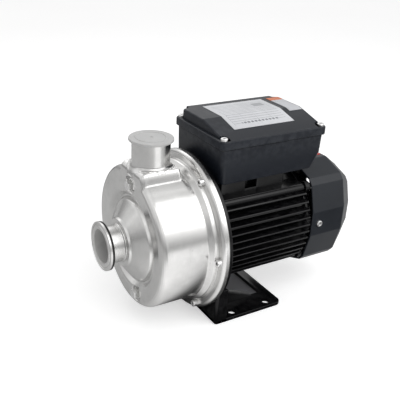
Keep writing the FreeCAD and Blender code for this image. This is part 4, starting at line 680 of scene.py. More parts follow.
def scaled(color, factor):
    """A colour made darker by a factor."""
    return tuple(c * factor for c in color)


def steel_finish(name, light, dark, smooth, rough, line_scale=900.0, line_depth=0.000004, satin=0.0):
    """Steel: lathe or polish lines and uneven gloss, painted shade in concave creases, pickled satin nearer
    the shaft line than satin.
    """
    material, tree, shader, where = new_finish(name, metallic=1.0)
    lines = effect(tree, "lathe", where, Axis_height=AXIS_Z * MM, Scale=line_scale)
    uneven = effect(tree, "uneven", where, Scale=14.0)["Mask"]
    color = mix_color(tree, uneven, dark, light)
    streaked = mix_color(tree, times(tree, lines["Mask"], 0.12), color, dark)
    # Painted shade: concave creases are darkened towards three tenths of the dark steel colour.
    creased = mix_color(tree, effect(tree, "crease", where)["Mask"], streaked, scaled(dark, 0.3))
    gloss = plus(tree, ramp(tree, uneven, 0, 1, rough, smooth), times(tree, lines["Mask"], 0.03))
    if satin:
        inside = ramp(tree, lines["Reach"], satin - 0.0002, satin, 1.0, 0.0)
        gloss = plus(tree, gloss, times(tree, inside, 0.3))
        tree.links.new(ramp(tree, inside, 0, 1, 1.0, 0.35), shader.inputs["Metallic"])
    feed(tree, shader, creased, gloss, lines["Height"], 0.5, line_depth)
    return material


def coated_finish(
    name, color, edge, smooth, rough, grain_scale, grain_depth, dust=0.15, specular=0.5,
):
    """Paint or moulded plastic: fine grain, edges lightened by wear and a painted highlight, uneven gloss
    and settled dust.
    """
    material, tree, shader, where = new_finish(name, Specular_IOR_Level=specular)
    grain = effect(tree, "grain", where, Scale=grain_scale)
    uneven = effect(tree, "uneven", where, Scale=22.0)["Mask"]
    base = mix_color(tree, uneven, scaled(color, 0.8), color)
    # Convex edges take the lighter edge colour, partly as wear and partly as a painted highlight.
    rubbed = mix_color(tree, effect(tree, "edge_wear_highlight", where)["Mask"], base, edge)
    pale = tuple(min(1.0, c * 0.8 + 0.07) for c in color)
    dusty = mix_color(tree, effect(tree, "dust", where, Amount=dust)["Mask"], rubbed, pale)
    gloss = plus(tree, ramp(tree, uneven, 0, 1, smooth, rough), times(tree, grain["Mask"], 0.04))
    feed(tree, shader, dusty, gloss, grain["Height"], 0.5, grain_depth)
    return material


def sheet_core_finish():
    """Stacked electrical steel: thin dark lines square to the shaft."""
    material, tree, shader, where = new_finish("core_laminations", metallic=1.0)
    sheets_per_metre = 2000.0
    layer = maths(tree, "FRACT", times(tree, axes(tree, where)[0], sheets_per_metre))
    uneven = effect(tree, "uneven", where, Scale=40.0)["Mask"]
    base = mix_color(tree, uneven, (0.2, 0.2, 0.21), (0.34, 0.34, 0.36))
    color = mix_color(tree, ramp(tree, layer, 0.75, 0.95), base, (0.04, 0.04, 0.05))
    feed(tree, shader, color, ramp(tree, uneven, 0, 1, 0.35, 0.55), layer, 0.4, 0.00005)
    return material


def winding_finish():
    """Lacquered wire laid round the shaft line, with gaps between the turns."""
    material, tree, shader, where = new_finish("winding_copper", metallic=0.6)
    lines = effect(tree, "lathe", where, Axis_height=AXIS_Z * MM, Scale=1500.0)
    uneven = effect(tree, "uneven", where, Scale=60.0)["Mask"]
    base = mix_color(tree, uneven, (0.3, 0.11, 0.04), (0.62, 0.28, 0.1))
    color = mix_color(tree, lines["Mask"], (0.06, 0.02, 0.01), base)
    feed(tree, shader, color, ramp(tree, lines["Mask"], 0, 1, 0.6, 0.3), lines["Height"], 0.8, 0.0003)
    return material


def across(tree, where, node):
    """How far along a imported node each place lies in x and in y, from 0 to 1."""
    split = axes(tree, where)
    return [ramp(tree, split[i], low(node)[i] * MM, high(node)[i] * MM) for i in (0, 1)]


def film_finish(name, scale, dark, light, smooth, rough, marks_of, ink):
    """Flat film or metal with an uneven ground; marks_of gives the mask of its plain marks."""
    material, tree, shader, where = new_finish(name)
    marks = marks_of(tree, where)
    uneven = effect(tree, "uneven", where, Scale=scale)
    color = mix_color(tree, marks, mix_color(tree, uneven["Mask"], dark, light), ink)
    gloss = ramp(tree, uneven["Mask"], 0, 1, smooth, rough)
    feed(tree, shader, color, gloss, uneven["Fine"], 0.3, 0.00002)
    return material


def plate_marks(tree, where):
    """Rating plate: plain ruled rows, a filled square and an empty table, no lettering."""
    u, v = across(tree, where, "rating_plate")
    inside = times(tree, within(tree, u, 0.07, 0.93), within(tree, v, 0.08, 0.9))
    line = maths(tree, "LESS_THAN", maths(tree, "FRACT", times(tree, v, 15.0)), 0.16)
    block = times(tree, within(tree, u, 0.7, 0.88), within(tree, v, 0.66, 0.82))
    columns = maths(tree, "FRACT", times(tree, minus(tree, u, 0.07), 4.65))
    bar = times(tree, maths(tree, "LESS_THAN", columns, 0.018), within(tree, v, 0.08, 0.62))
    cells = maths(tree, "LESS_THAN", maths(tree, "FRACT", times(tree, u, 17.0)), 0.6)
    row = within(tree, u, 0.2, 0.8)
    fields = times(tree, times(tree, cells, row), within(tree, v, 0.12, 0.165))
    faint = times(tree, larger(tree, larger(tree, line, bar), block), 0.9)
    lines = times(tree, larger(tree, faint, times(tree, fields, 1.4)), inside)
    return times(tree, lines, 0.6)


def side_label_marks(tree, where):
    """Side label: one coloured band at its far end."""
    return maths(tree, "GREATER_THAN", across(tree, where, "side_label")[1], 0.78)


def arrow_marks(tree, where):
    """Arrow label: a plain arrow of a bar and a triangle, told apart by position."""
    v, u = across(tree, where, "rotation_label")
    off = maths(tree, "ABSOLUTE", minus(tree, v, 0.5))
    bar = times(tree, within(tree, u, 0.4, 0.86), maths(tree, "LESS_THAN", off, 0.09))
    tip = times(tree, minus(tree, u, 0.14), 0.85)
    head = times(tree, maths(tree, "LESS_THAN", off, tip), within(tree, u, 0.14, 0.42))
    return larger(tree, bar, head)


def cap_finish():
    """Milky moulded plastic that lets a little light through."""
    color = tuple(bpy.context.scene.pump_finishes.cap)
    material, tree, shader, where = new_finish(
        "cap_plastic", Subsurface_Weight=0.35, Subsurface_Scale=0.004, Subsurface_Radius=(1.0, 0.95, 0.9),
    )
    grain = effect(tree, "grain", where, Scale=1400.0)
    uneven = effect(tree, "uneven", where, Scale=60.0)["Mask"]
    mottled = mix_color(tree, uneven, scaled(color, 0.86), color)
    feed(tree, shader, mottled, ramp(tree, uneven, 0, 1, 0.3, 0.46), grain["Height"], 0.4, 0.00003)
    return material


def grey(level):
    """A neutral colour."""
    return (level, level, level)


def steel_rows(steel):
    """Metals: light, dark, lowest and highest roughness, line scale and depth, satin radius."""
    return {
        "pressed_steel": (steel, scaled(steel, 0.8), 0.17, 0.27),
        "ferrule_steel": (steel, scaled(steel, 0.8), 0.2, 0.32, 900.0, 0.000004, 0.0178),
        "fastener_steel": ((0.9, 0.895, 0.885), grey(0.74), 0.24, 0.36, 1600.0),
        "shaft_steel": (grey(0.6), grey(0.5), 0.2, 0.3, 1800.0),
        "bearing_steel": (grey(0.6), grey(0.52), 0.08, 0.16, 2500.0),
        "cast_aluminium": (grey(0.7), grey(0.55), 0.35, 0.5, 300.0, 0.00003),
        "capacitor_case": ((0.7, 0.7, 0.72), (0.6, 0.6, 0.62), 0.25, 0.4, 700.0),
        "post_brass": ((0.72, 0.5, 0.2), (0.6, 0.4, 0.15), 0.22, 0.36, 1500.0),
    }


def coated_rows(paint, slate, box):
    """Coated: colour, edge colour for wear and painted highlight, lowest and highest roughness, grain scale
    and depth, dust, specular.
    """
    return {
        "motor_paint": (paint, (0.016, 0.016, 0.017), 0.13, 0.22, 1500.0, 0.000012, 0.02, 0.3),
        "hood_finish": (slate, (0.05, 0.05, 0.06), 0.28, 0.38, 2400.0, 0.000015, 0.03, 0.36),
        "box_plastic": (box, (0.045, 0.05, 0.06), 0.3, 0.42, 2600.0, 0.000015, 0.02, 0.28),
        "gland_plastic": ((0.022, 0.022, 0.024), grey(0.06), 0.35, 0.5, 2200.0, 0.00003),
        "fan_plastic": ((0.03, 0.03, 0.032), grey(0.07), 0.4, 0.55, 2200.0, 0.00003),
        "board_plastic": ((0.09, 0.06, 0.04), (0.15, 0.12, 0.1), 0.4, 0.55, 1800.0, 0.00004),
        "washer_plastic": ((0.7, 0.7, 0.67), (0.76, 0.76, 0.74), 0.4, 0.55, 1500.0, 0.00003),
        "sealing_sheet": ((0.1, 0.13, 0.12), (0.18, 0.2, 0.2), 0.6, 0.8, 900.0, 0.00008),
        "black_rubber": (grey(0.012), grey(0.03), 0.45, 0.65, 1200.0, 0.00005),
        "ceramic_seat": ((0.8, 0.78, 0.72), (0.85, 0.84, 0.8), 0.15, 0.3, 2000.0, 0.00001),
        "carbon_face": ((0.03, 0.03, 0.033), grey(0.06), 0.25, 0.4, 2000.0, 0.00001),
    }


FILM_ROWS = {
    "plate_metal": (
        30.0, (0.72, 0.73, 0.76), (0.84, 0.85, 0.88), 0.34, 0.46, plate_marks, (0.16, 0.17, 0.19),
    ),
    "label_film": (
        30.0, (0.6, 0.61, 0.64), (0.7, 0.71, 0.74), 0.25, 0.38, side_label_marks, (0.72, 0.16, 0.03),
    ),
    "arrow_film": (
        40.0, (0.55, 0.02, 0.015), (0.7, 0.035, 0.02), 0.22, 0.36, arrow_marks, (0.85, 0.84, 0.82),
    ),
}
SPECIAL_FINISHES = {
    "core_laminations": sheet_core_finish, "winding_copper": winding_finish, "cap_plastic": cap_finish,
}


def finish_of(slot):
    """The finish for one of the record's material slots, made the first time it is used."""
    if slot in FINISHES:
        return FINISHES[slot]
    colors = bpy.context.scene.pump_finishes
    rows = (
        (steel_finish, steel_rows(tuple(colors.steel))),
        (coated_finish, coated_rows(tuple(colors.paint), tuple(colors.slate), tuple(colors.box))),
        (film_finish, FILM_ROWS),
    )
    for maker, table in rows:
        if slot in table:
            FINISHES[slot] = maker(slot, *table[slot])
    if slot in SPECIAL_FINISHES:
        FINISHES[slot] = SPECIAL_FINISHES[slot]()
    if slot not in FINISHES:
        raise RuntimeError("no finish for slot %s" % slot)
    return FINISHES[slot]


# Settings a user would change


def length_setting(name, description, default, lowest, highest):
    """A length in millimetres."""
    text = description + ", in millimetres"
    return FloatProperty(name=name, description=text, default=default, min=lowest, max=highest)


def color_setting(name, description, default):
    """A colour."""
    return FloatVectorProperty(
        name=name, description=description, subtype="COLOR", default=default, min=0.0, max=1.0,
    )


def angle_setting(name, description, degrees):
    """An angle, given in degrees."""
    return FloatProperty(
        name=name, description=description, default=math.radians(degrees), subtype="ANGLE", unit="ROTATION",
    )


def power_setting(name, description, default):
    """A light's power."""
    return FloatProperty(name=name, description=description, default=default, unit="POWER")


class PumpSizes(bpy.types.PropertyGroup):
    """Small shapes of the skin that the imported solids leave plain."""

    weld_bead: length_setting("Weld bead", "Width of the bead round the tube and the neck", 1.5, 0.2, 4.0)
    moulding_edge: length_setting("Moulding edge", "Rounding of moulded edges", 1.3, 0.2, 4.0)
    corner_radius: length_setting("Box corner", "Rounding of the box's upright corners", 5.0, 1.0, 8.0)
    fin_tip: length_setting("Fin tip", "Rounding of the cooling fins' tips", 0.85, 0.1, 1.0)
    round_steps: IntProperty(
        name="Round steps", description="Faces round the casing between the plugs",
        default=180, min=60, max=300,
    )
    thread_pitch: length_setting("Plug thread pitch", "Travel of a plug in one turn", 1.0, 0.5, 2.0)


class PumpFinishes(bpy.types.PropertyGroup):
    """Main colours of the pump."""

    steel: color_setting("Stainless steel", "Colour of the pressed sheet", (0.79, 0.785, 0.775))
    paint: color_setting("Motor paint", "Colour of the castings and the foot", (0.0022, 0.0021, 0.0028))
    slate: color_setting("Fan cover", "Colour of the fan cover", (0.014, 0.0175, 0.024))
    box: color_setting("Terminal box", "Colour of the terminal box", (0.0105, 0.0135, 0.0205))
    cap: color_setting("Transport cap", "Colour of the cap on the discharge tube", (0.63, 0.63, 0.625))


class PumpStage(bpy.types.PropertyGroup):
    """Camera and light."""

    yaw: angle_setting("Yaw", "Turn of the view from +Y towards +X", 32.38)
    pitch: angle_setting("Pitch", "How far the view looks down", 24.86)
    roll: angle_setting("Roll", "Turn of the picture about the view line", 3.07)
    distance: FloatProperty(
        name="Distance", description="From the camera to the point it looks at",
        default=0.68198, subtype="DISTANCE", unit="LENGTH",
    )
    lens: FloatProperty(
        name="Lens", description="Focal length in millimetres on a 36 mm sensor",
        default=58.0, subtype="DISTANCE_CAMERA",
    )
    target: FloatVectorProperty(
        name="Target", description="Point the camera looks at", default=(-0.03835, 0.0, 0.11846),
        subtype="TRANSLATION", unit="LENGTH",
    )
    key_power: power_setting("Key light", "Power of the large soft light", 7.0)
    fill_power: power_setting("Fill light", "Power of the side light", 2.6)


# Pieces


class PUMP_OT_stage(bpy.types.Operator):
    """Builds the floor, the soft lights, the white surroundings and the camera"""

    bl_idname = "pump.stage"
    bl_label = "Stage"

    def execute(self, context):
        stage = context.scene.pump_stage
        self.floor()
        self.world(context.scene)
        lights = (
            ("key_light", (0.15, -0.85, 1.15), 1.5, 1.2, stage.key_power),
            ("fill_light", (0.9, -0.6, 0.6), 1.2, 1.0, stage.fill_power),
            ("back_light", (0.1, 0.9, 0.9), 1.0, 0.5, stage.fill_power * 0.5),
        )
        for name, at, width, height, power in lights:
            lamp = bpy.data.lights.new(name, "AREA")
            lamp.shape = "RECTANGLE"
            lamp.size, lamp.size_y, lamp.energy = width, height, power
            holder = bpy.data.objects.new(name, lamp)
            context.scene.collection.objects.link(holder)
            aim = Vector((-0.02, 0, 0.1)) - Vector(at)
            holder.matrix_world = Matrix.Translation(at) @ aim.to_track_quat("-Z", "Y").to_matrix().to_4x4()
        self.camera(context.scene, stage)
        context.scene.view_settings.view_transform = "Standard"
        return {"FINISHED"}

    def floor(self):
        grid = np.array([[[-3000.0, -3000, 0], [3000, -3000, 0]], [[-3000, 3000, 0], [3000, 3000, 0]]])
        mesh = fill_mesh("floor", surface(grid, False, False))
        floor = bpy.data.objects.new("floor", mesh)
        bpy.context.scene.collection.objects.link(floor)
        material, tree, shader, where = new_finish("floor_paper", Roughness=0.9)
        path = tree.nodes.new("ShaderNodeLightPath")
        uneven = effect(tree, "uneven", where, Scale=3.0)
        paper = mix_color(tree, uneven["Mask"], (0.9, 0.9, 0.9), (0.93, 0.93, 0.93))
        level = self.lit_part(tree, where)
        # Painted reflection: to glossy rays the floor's colour runs from dark to pale with its painted
        # light.
        mirrored = mix_color(tree, level, (0.1, 0.1, 0.1), (0.93, 0.93, 0.93))
        glossy = path.outputs["Is Glossy Ray"]
        seen = mix_color(tree, glossy, paper, mirrored)
        # Painted shadow: under the foot the floor turns dark grey and stops glowing.
        shade = self.under_foot(tree, where)
        tree.links.new(mix_color(tree, shade, seen, (0.19, 0.19, 0.2)), shader.inputs["Base Color"])
        shader.inputs["Emission Color"].default_value = (1, 1, 1, 1)
        # The floor glows evenly to the camera. To glossy rays it glows with its painted light, a glow that
        # stands in for light.
        bright = larger(tree, path.outputs["Is Camera Ray"], times(tree, glossy, level))
        bright = times(tree, bright, minus(tree, 1.0, shade))
        tree.links.new(times(tree, bright, 0.5), shader.inputs["Emission Strength"])
        mesh.materials.append(material)

    def lit_part(self, tree, where):
        """Painted light and shade on the floor, as polished metal shows it: how much light each place seems
        to get.
        """
        x, y, _ = axes(tree, where)
        square = plus(
            tree, maths(tree, "POWER", plus(tree, x, 0.12), 2.0),
            maths(tree, "POWER", plus(tree, y, 0.25), 2.0),
        )
        pool = ramp(tree, maths(tree, "SQRT", square), 0.12, 0.32, 1.0, 0.12)
        strip = times(
            tree, ramp(tree, y, -0.2, -0.08, 1.0, 0.45),
            times(tree, ramp(tree, y, 0.08, 0.18, 1.0, 0.0), ramp(tree, x, -0.3, -0.1)),
        )
        beside = plus(tree, x, times(tree, maths(tree, "MINIMUM", y, 0.0), 0.635))
        casing_side = times(
            tree, larger(tree, larger(tree, pool, strip), 0.42),
            ramp(tree, beside, -0.115, -0.095, 1.0, 0.0),
        )
        under_hood = times(tree, ramp(tree, y, -0.15, -0.11, 0.0, 0.5), ramp(tree, x, 0.07, 0.11))
        distant = times(
            tree, ramp(tree, y, -0.33, -0.28, 0.5, 0.0), ramp(tree, beside, -0.115, -0.095),
        )
        return larger(tree, casing_side, larger(tree, under_hood, distant))

    def under_foot(self, tree, where):
        """1 on the floor that shows through the foot's window, where a shadow is painted in dark grey."""
        x, y, _ = axes(tree, where)
        x0, x1 = low("foot")[0] * MM, high("foot")[0] * MM
        return times(tree, within(tree, x, x0 + 0.002, x1 - 0.009), within(tree, y, -0.035, 0.035))

    def world(self, scene):
        world = bpy.data.worlds.new("studio")
        scene.world = world
        world.use_nodes = True
        tree = world.node_tree
        background = tree.nodes["Background"]
        path = tree.nodes.new("ShaderNodeLightPath")
        seen = larger(tree, path.outputs["Is Camera Ray"], path.outputs["Is Transmission Ray"])
        where = tree.nodes.new("ShaderNodeTexCoord").outputs["Generated"]
        cloud = noise_of(tree, where, 1.7, Detail=1.0)
        tent = times(
            tree, ramp(tree, axes(tree, where)[2], -0.02, 0.3, 0.35, 1.0),
            ramp(tree, cloud, 0.4, 0.6, 0.72, 1.0),
        )
        shown = mix_color(tree, seen, (0.45, 0.45, 0.45), (1, 1, 1))
        lit = mix_color(tree, path.outputs["Is Glossy Ray"], shown, (1, 1, 1))
        level = plus(
            tree, times(tree, path.outputs["Is Glossy Ray"], minus(tree, tent, 1.0)), 1.0,
        )
        tree.links.new(lit, background.inputs["Color"])
        tree.links.new(level, background.inputs["Strength"])

    def camera(self, scene, stage):
        yaw, pitch, roll = stage.yaw, stage.pitch, stage.roll
        reach = math.cos(pitch)
        forward = Vector((math.sin(yaw) * reach, math.cos(yaw) * reach, -math.sin(pitch)))
        level = Vector((math.cos(yaw), -math.sin(yaw), 0))
        up = level.cross(forward)
        right = level * math.cos(roll) + up * math.sin(roll)
        top = up * math.cos(roll) - level * math.sin(roll)
        view = bpy.data.cameras.new("camera")
        view.lens, view.sensor_width = stage.lens, 36.0
        view.clip_start, view.clip_end = 0.01, 50.0
        holder = bpy.data.objects.new("camera", view)
        scene.collection.objects.link(holder)
        turn = Matrix((right, top, -forward)).transposed().to_4x4()
        holder.matrix_world = Matrix.Translation(Vector(stage.target) - forward * stage.distance) @ turn
        scene.camera = holder


def casing_lines():
    """Outer and inner skin of the pressed casing as (x, radius, rounding)."""
    collar_rear = COLLAR_X + 2.5
    floor = FRONT_X + 5.5
    ridge_front, ridge_mid = FLANGE_X - 8, FLANGE_X - 4
    outer = [
        (COLLAR_X, NECK_RADIUS + 0.05, 0.2), (COLLAR_X, 24.5, 1.2), (collar_rear, 25.9, 2.0),
        (FRONT_X, 41.0, 3.5), (FRONT_X + 1.2, 42.6, 1.6), (floor, 44.5, 1.4), (floor, 46.5, 1.4),
        (FRONT_X + 1.2, 50.5, 2.0), (FRONT_X, 53.0, 4.0), (FRONT_X, DRUM_RADIUS, DRUM_EDGE),
        (ridge_front, DRUM_RADIUS, 2.0), (ridge_mid, 75.9, 2.5), (FLANGE_X, 76.5, 0.9),
        (FLANGE_X, RIM_RADIUS, 4.0), (RIM_REAR_X, RIM_RADIUS, 0.7),
        (RIM_REAR_X, RIM_RADIUS - SHEET, 0.7), (FLANGE_X + SHEET, RIM_RADIUS - SHEET, 1.5),
    ]
    inner = [
        (FLANGE_X + SHEET, 74.5, 1.5), (ridge_mid + 0.6, 73.9, 1.5), (ridge_front + 0.6, 69.5, 1.5),
        (FRONT_X + SHEET, 69.5, DRUM_EDGE - SHEET), (FRONT_X + SHEET, 54.1, 2.0),
        (FRONT_X + 3.2, 51.5, 1.0), (floor + SHEET, 47.5, 1.0), (floor + SHEET, 42.5, 1.0),
        (FRONT_X + 2.4, 41.3, 1.0), (FRONT_X + 1.7, 40.5, 1.0), (collar_rear + 1.4, 24.2, 1.0),
        (COLLAR_X + SHEET, 22.5, 1.0), (COLLAR_X + SHEET, NECK_RADIUS + 0.05, 0.2),
    ]
    return outer, inner


def soft_step(value, start, end):
    """Rises from 0 at start to 1 at end as 3 t^2 - 2 t^3."""
    t = np.clip((value - start) / (end - start), 0, 1)
    return t * t * (3 - 2 * t)


def drum_rise(x, angle):
    """How far the drum stands out beyond its circle, by the angle from +Z towards +Y.

    The outlet's level seat is SEAT_LEVEL / cos(angle) and falls to the drum over a soft step.
    The fuller far side is a circle of the drum's radius about a centre shifted by FULLER_SHIFT.
    """
    off = np.abs(angle)
    edge = math.atan2(SEAT_HALF, SEAT_LEVEL)
    level = SEAT_LEVEL / np.cos(np.minimum(off, edge)) - DRUM_RADIUS
    beside = 1 - soft_step(off, edge - 0.02, edge + 0.13)
    seat = level * beside * (1 - soft_step(x, SEAT_REAR, SEAT_REAR + 6))
    shift_y, shift_z = FULLER_SHIFT
    aside = shift_y * np.cos(angle) - shift_z * np.sin(angle)
    outward = shift_y * np.sin(angle) + shift_z * np.cos(angle)
    fuller = outward + np.sqrt(DRUM_RADIUS**2 - aside**2) - DRUM_RADIUS
    fuller = np.maximum(fuller, 0) * (1 - soft_step(x, FLANGE_X - 15, FLANGE_X - 8))
    return np.maximum(seat, fuller)


def drum_height(x, y):
    """Height of the drum's outer skin above the shaft line at a plan position, found in four steps."""
    ahead = np.maximum(FRONT_X + DRUM_EDGE - x, 0)
    radius = DRUM_RADIUS - DRUM_EDGE + np.sqrt(np.maximum(DRUM_EDGE**2 - ahead**2, 0))
    height = np.sqrt(np.maximum(radius**2 - y**2, 0))
    for _ in range(4):
        whole = radius + drum_rise(x, np.arctan2(y, height))
        height = np.sqrt(np.maximum(whole**2 - y**2, 0))
    return height


class PUMP_OT_casing(bpy.types.Operator):
    """Builds the pressed casing with its plug pockets and its outlet opening"""

    bl_idname = "pump.casing"
    bl_label = "Casing"

    def execute(self, context):
        outer, inner = casing_lines()
        skin = np.array(outer + inner)
        line = rounded(skin, steps=6)
        line = densify(np.concatenate([line, line[:1]]), 0.5, 51.0, DRUM_RADIUS + 0.05)[:-1]
        level = np.abs(np.concatenate([[1.0], np.diff(line[:, 1])])) < 1e-6
        drum = (line[:, 0] > FRONT_X + 12) & (line[:, 0] < FLANGE_X - 8)
        line = line[~(drum & level) | (np.arange(len(line)) % 3 == 0)]
        grid = turned(line, SHAFT_LINE, "x", angles=self.angles(context))[0]
        grid = self.press_pockets(grid, line)
        mesh = fill_mesh("casing_skin", surface(grid))
        radius = OUTLET_RADIUS + 0.1
        rod = rounded([(58, radius, 0.1), (120, radius, 0.1), (120, POLE, 0), (58, POLE, 0)], 1)
        cuts = [turned(rod, (OUTLET[0], 0, AXIS_Z), "z", 72)]
        for plug in (VENT, DRAIN):
            cuts.append(cylinder(-6, 8, THREAD_RADIUS + 0.1, (POCKET_X, plug[1], plug[2]), "x", 32))
        place_piece("casing_skin", carve(mesh, joined(*cuts)), "pressed_steel", ["pump_casing"])
        return {"FINISHED"}

    def angles(self, context):
        """Even steps round the shaft line, with finer ones across each plug and the seat's edges."""
        steps = context.scene.pump_sizes.round_steps
        even = np.arange(steps) * 2 * np.pi / steps
        fine = []
        for plug in (VENT, DRAIN):
            at = math.atan2(-plug[1], plug[2] - AXIS_Z)
            fine.append((at + np.linspace(-0.17, 0.17, 27)) % (2 * np.pi))
        for start, end in ((0.185, 0.48), (-0.48, -0.185)):
            fine.append(np.linspace(start, end, 24) % (2 * np.pi))
        every = np.sort(np.concatenate([even] + fine))
        apart = np.diff(np.concatenate([every, [every[0] + 2 * np.pi]]))
        return every[apart > 0.004]

    def press_pockets(self, points, line):
        """Raises the drum's seat and far side, then pushes the front back to the floor of each pocket."""
        radius = np.hypot(points[:, 1], points[:, 2] - AXIS_Z)
        front = points[:, 0] < FRONT_X + 8
        inner = np.tile(np.arange(len(line)) > np.argmax(line[:, 0]), len(points) // len(line))
        angle = np.arctan2(points[:, 1], points[:, 2] - AXIS_Z)
        rise = drum_rise(points[:, 0], angle) * soft_step(radius, 55, 66)
        points[:, 1:] = (points[:, 1:] - [0, AXIS_Z]) * (1 + rise / radius)[:, None] + [0, AXIS_Z]
        for plug in (VENT, DRAIN):
            away = np.hypot(points[:, 1] - plug[1], points[:, 2] - plug[2])
            pressed = 1 - soft_step(away, POCKET_RADIUS, POCKET_EDGE)
            floor = POCKET_X + 1.2 + np.where(inner, SHEET, 0)
            seat = np.where(away < 6.2, POCKET_X + np.where(inner, SHEET, 0), floor)
            push = np.where(front & (away < POCKET_EDGE), np.maximum(seat - points[:, 0], 0), 0)
            points[:, 0] += pressed * push
        return points.reshape(-1, len(line), 3)


class PUMP_OT_suction_port(bpy.types.Operator):
    """Builds the clamp ferrule with its neck and weld bead, and the rubber ring behind its flange"""

    bl_idname = "pump.suction_port"
    bl_label = "Suction port"

    def execute(self, context):
        lowest, highest = low("suction_ferrule"), high("suction_ferrule")
        front, rear, rim = lowest[0], highest[0], highest[1]
        back = front + 2.5
        bead = context.scene.pump_sizes.weld_bead
        ferrule = rounded([
            (front, PORT_BORE, 0.5), (front, 20.9, 0.3), (front + 0.8, 21.4, 0.4), (front + 0.8, 22.8, 0.4),
            (front, 23.3, 0.3), (front, rim, 0.6), (back, rim, 0.6), (back, NECK_RADIUS, 0.7),
            (COLLAR_X - bead, NECK_RADIUS, 0.5), (COLLAR_X - bead * 0.6, NECK_RADIUS + bead * 0.55, 0.6),
            (COLLAR_X + 0.1, NECK_RADIUS + bead * 0.8, 0.4), (COLLAR_X + 0.1, NECK_RADIUS, 0.1),
            (rear, NECK_RADIUS, 0.2), (rear, PORT_BORE, 0.3),
        ], steps=4)
        port = place_piece(
            "suction_ferrule_skin", turned(ferrule, SHAFT_LINE, "x", 128), "pressed_steel",
            ["suction_ferrule"],
        )
        port.data.materials[0] = finish_of("ferrule_steel")
        x0, x1 = low("suction_seal_ring")[0], high("suction_seal_ring")[0]
        ring = rounded([
            (x0, NECK_RADIUS + 0.1, 0.4), (x0, rim - 0.1, 0.8), (x1, rim - 0.1, 1.0),
            (x1, NECK_RADIUS + 0.1, 0.6),
        ], steps=5)
        place_piece(
            "suction_ring_skin", turned(ring, SHAFT_LINE, "x", 96), "black_rubber", ["suction_seal_ring"],
        )
        return {"FINISHED"}


class PUMP_OT_discharge_port(bpy.types.Operator):
    """Builds the discharge tube with its flared foot and weld, and the transport cap"""

    bl_idname = "pump.discharge_port"
    bl_label = "Discharge port"

    def execute(self, context):
        flare = 3.2
        bead = context.scene.pump_sizes.weld_bead
        t = np.arange(144) * 2 * np.pi / 144
        s = np.linspace(0, np.pi / 2, 9)
        turn = np.stack([OUTLET_RADIUS + flare * (1 - np.cos(s)), flare * (1 - np.sin(s))], 1)
        toe = OUTLET_RADIUS + flare
        below = np.concatenate([turn, [
            (toe + bead * 0.3, 0.32), (toe + bead * 0.7, 0.3), (toe + bead, -0.05), (toe + bead, -0.8),
            (OUTLET_BORE + 0.8, -2.5), (OUTLET_BORE, -3.0), (OUTLET_BORE, -1.0), (OUTLET_BORE, 3.0),
        ]])
        reach, lift = below.T
        x = OUTLET[0] + reach[None, :] * np.cos(t)[:, None]
        y = reach[None, :] * np.sin(t)[:, None]
        ripple = 0.1 * np.cos(36 * t)[:, None] * ((reach > toe) & (lift > 0))[None, :]
        z = AXIS_Z + drum_height(x, y) + lift[None, :] + ripple
        foot = np.stack([x, y, z], -1)
        top = np.array([
            (OUTLET_BORE, OUTLET_TOP - 0.6), (OUTLET_BORE + 0.2, OUTLET_TOP - 0.1),
            (OUTLET_BORE + 0.5, OUTLET_TOP),
            (OUTLET_RADIUS - 0.5, OUTLET_TOP), (OUTLET_RADIUS - 0.1, OUTLET_TOP - 0.15),
            (OUTLET_RADIUS, OUTLET_TOP - 0.6), (OUTLET_RADIUS, OUTLET_TOP - 1.2),
        ])
        reach, height = top.T[:, None]
        x = OUTLET[0] + reach * np.cos(t)[:, None]
        y = reach * np.sin(t)[:, None]
        rim = np.stack(np.broadcast_arrays(x, y, height), -1)
        place_piece(
            "discharge_tube_skin", surface(np.concatenate([foot, rim], 1)), "pressed_steel",
            ["discharge_neck"],
        )
        self.cap()
        return {"FINISHED"}

    def cap(self):
        base = OUTLET_TOP
        height = high("discharge_cap")[2] - base - 0.5
        rim = high("discharge_cap")[1]
        skirt = OUTLET_BORE - 0.05
        line = rounded([
            (height - 0.55, 0.0, 0), (height - 0.55, 1.3, 0.3), (height, 1.9, 0.3), (height, 13.8, 0.4),
            (height + 0.5, 14.3, 0.3), (height + 0.5, 15.6, 0.3), (height, 16.2, 0.4), (height, rim, 0.9),
            (0.0, rim, 0.5), (0.0, skirt, 0.3), (-12.0, skirt - 0.2, 0.4), (-12.0, skirt - 1.2, 0.4),
            (0.5, skirt - 1.2, 0.5), (0.5, 0.0, 0),
        ], steps=4, closed=False)
        place_piece(
            "discharge_cap_skin", turned(line, (OUTLET[0], 0, base), "z", 96, closed=False), "cap_plastic",
            ["discharge_cap"], "outlet_cap",
        )


class PUMP_OT_plugs(bpy.types.Operator):
    """Builds the vent and drain plugs with their threads and washers"""

    bl_idname = "pump.plugs"
    bl_label = "Vent and drain plugs"

    def execute(self, context):
        pitch = context.scene.pump_sizes.thread_pitch
        for name, at in (("vent", VENT), ("drain", DRAIN)):
            washer_front = low(name + "_washer")[0]
            head_front = low(name + "_plug")[0]
            thread_end = high(name + "_plug")[0]
            base = (washer_front, at[1], at[2])
            head = hexagon_head(5.0, washer_front - head_front, base, "-x")
            thread = threaded(THREAD_RADIUS, 0.35, pitch, -0.5, thread_end - washer_front, base, "x")
            place_piece(
                name + "_plug_skin", joined(head, thread), "fastener_steel", [name + "_plug"],
                name + "_screw",
            )
            ring = rounded([
                (washer_front, THREAD_RADIUS + 0.05, 0.15), (washer_front, 5.2, 0.3), (POCKET_X, 5.2, 0.3),
                (POCKET_X, THREAD_RADIUS + 0.05, 0.15),
            ], steps=3)
            place_piece(
                name + "_washer_skin", turned(ring, (0, at[1], at[2]), "x", 64), "washer_plastic",
                [name + "_washer"], name + "_slide",
            )
        return {"FINISHED"}


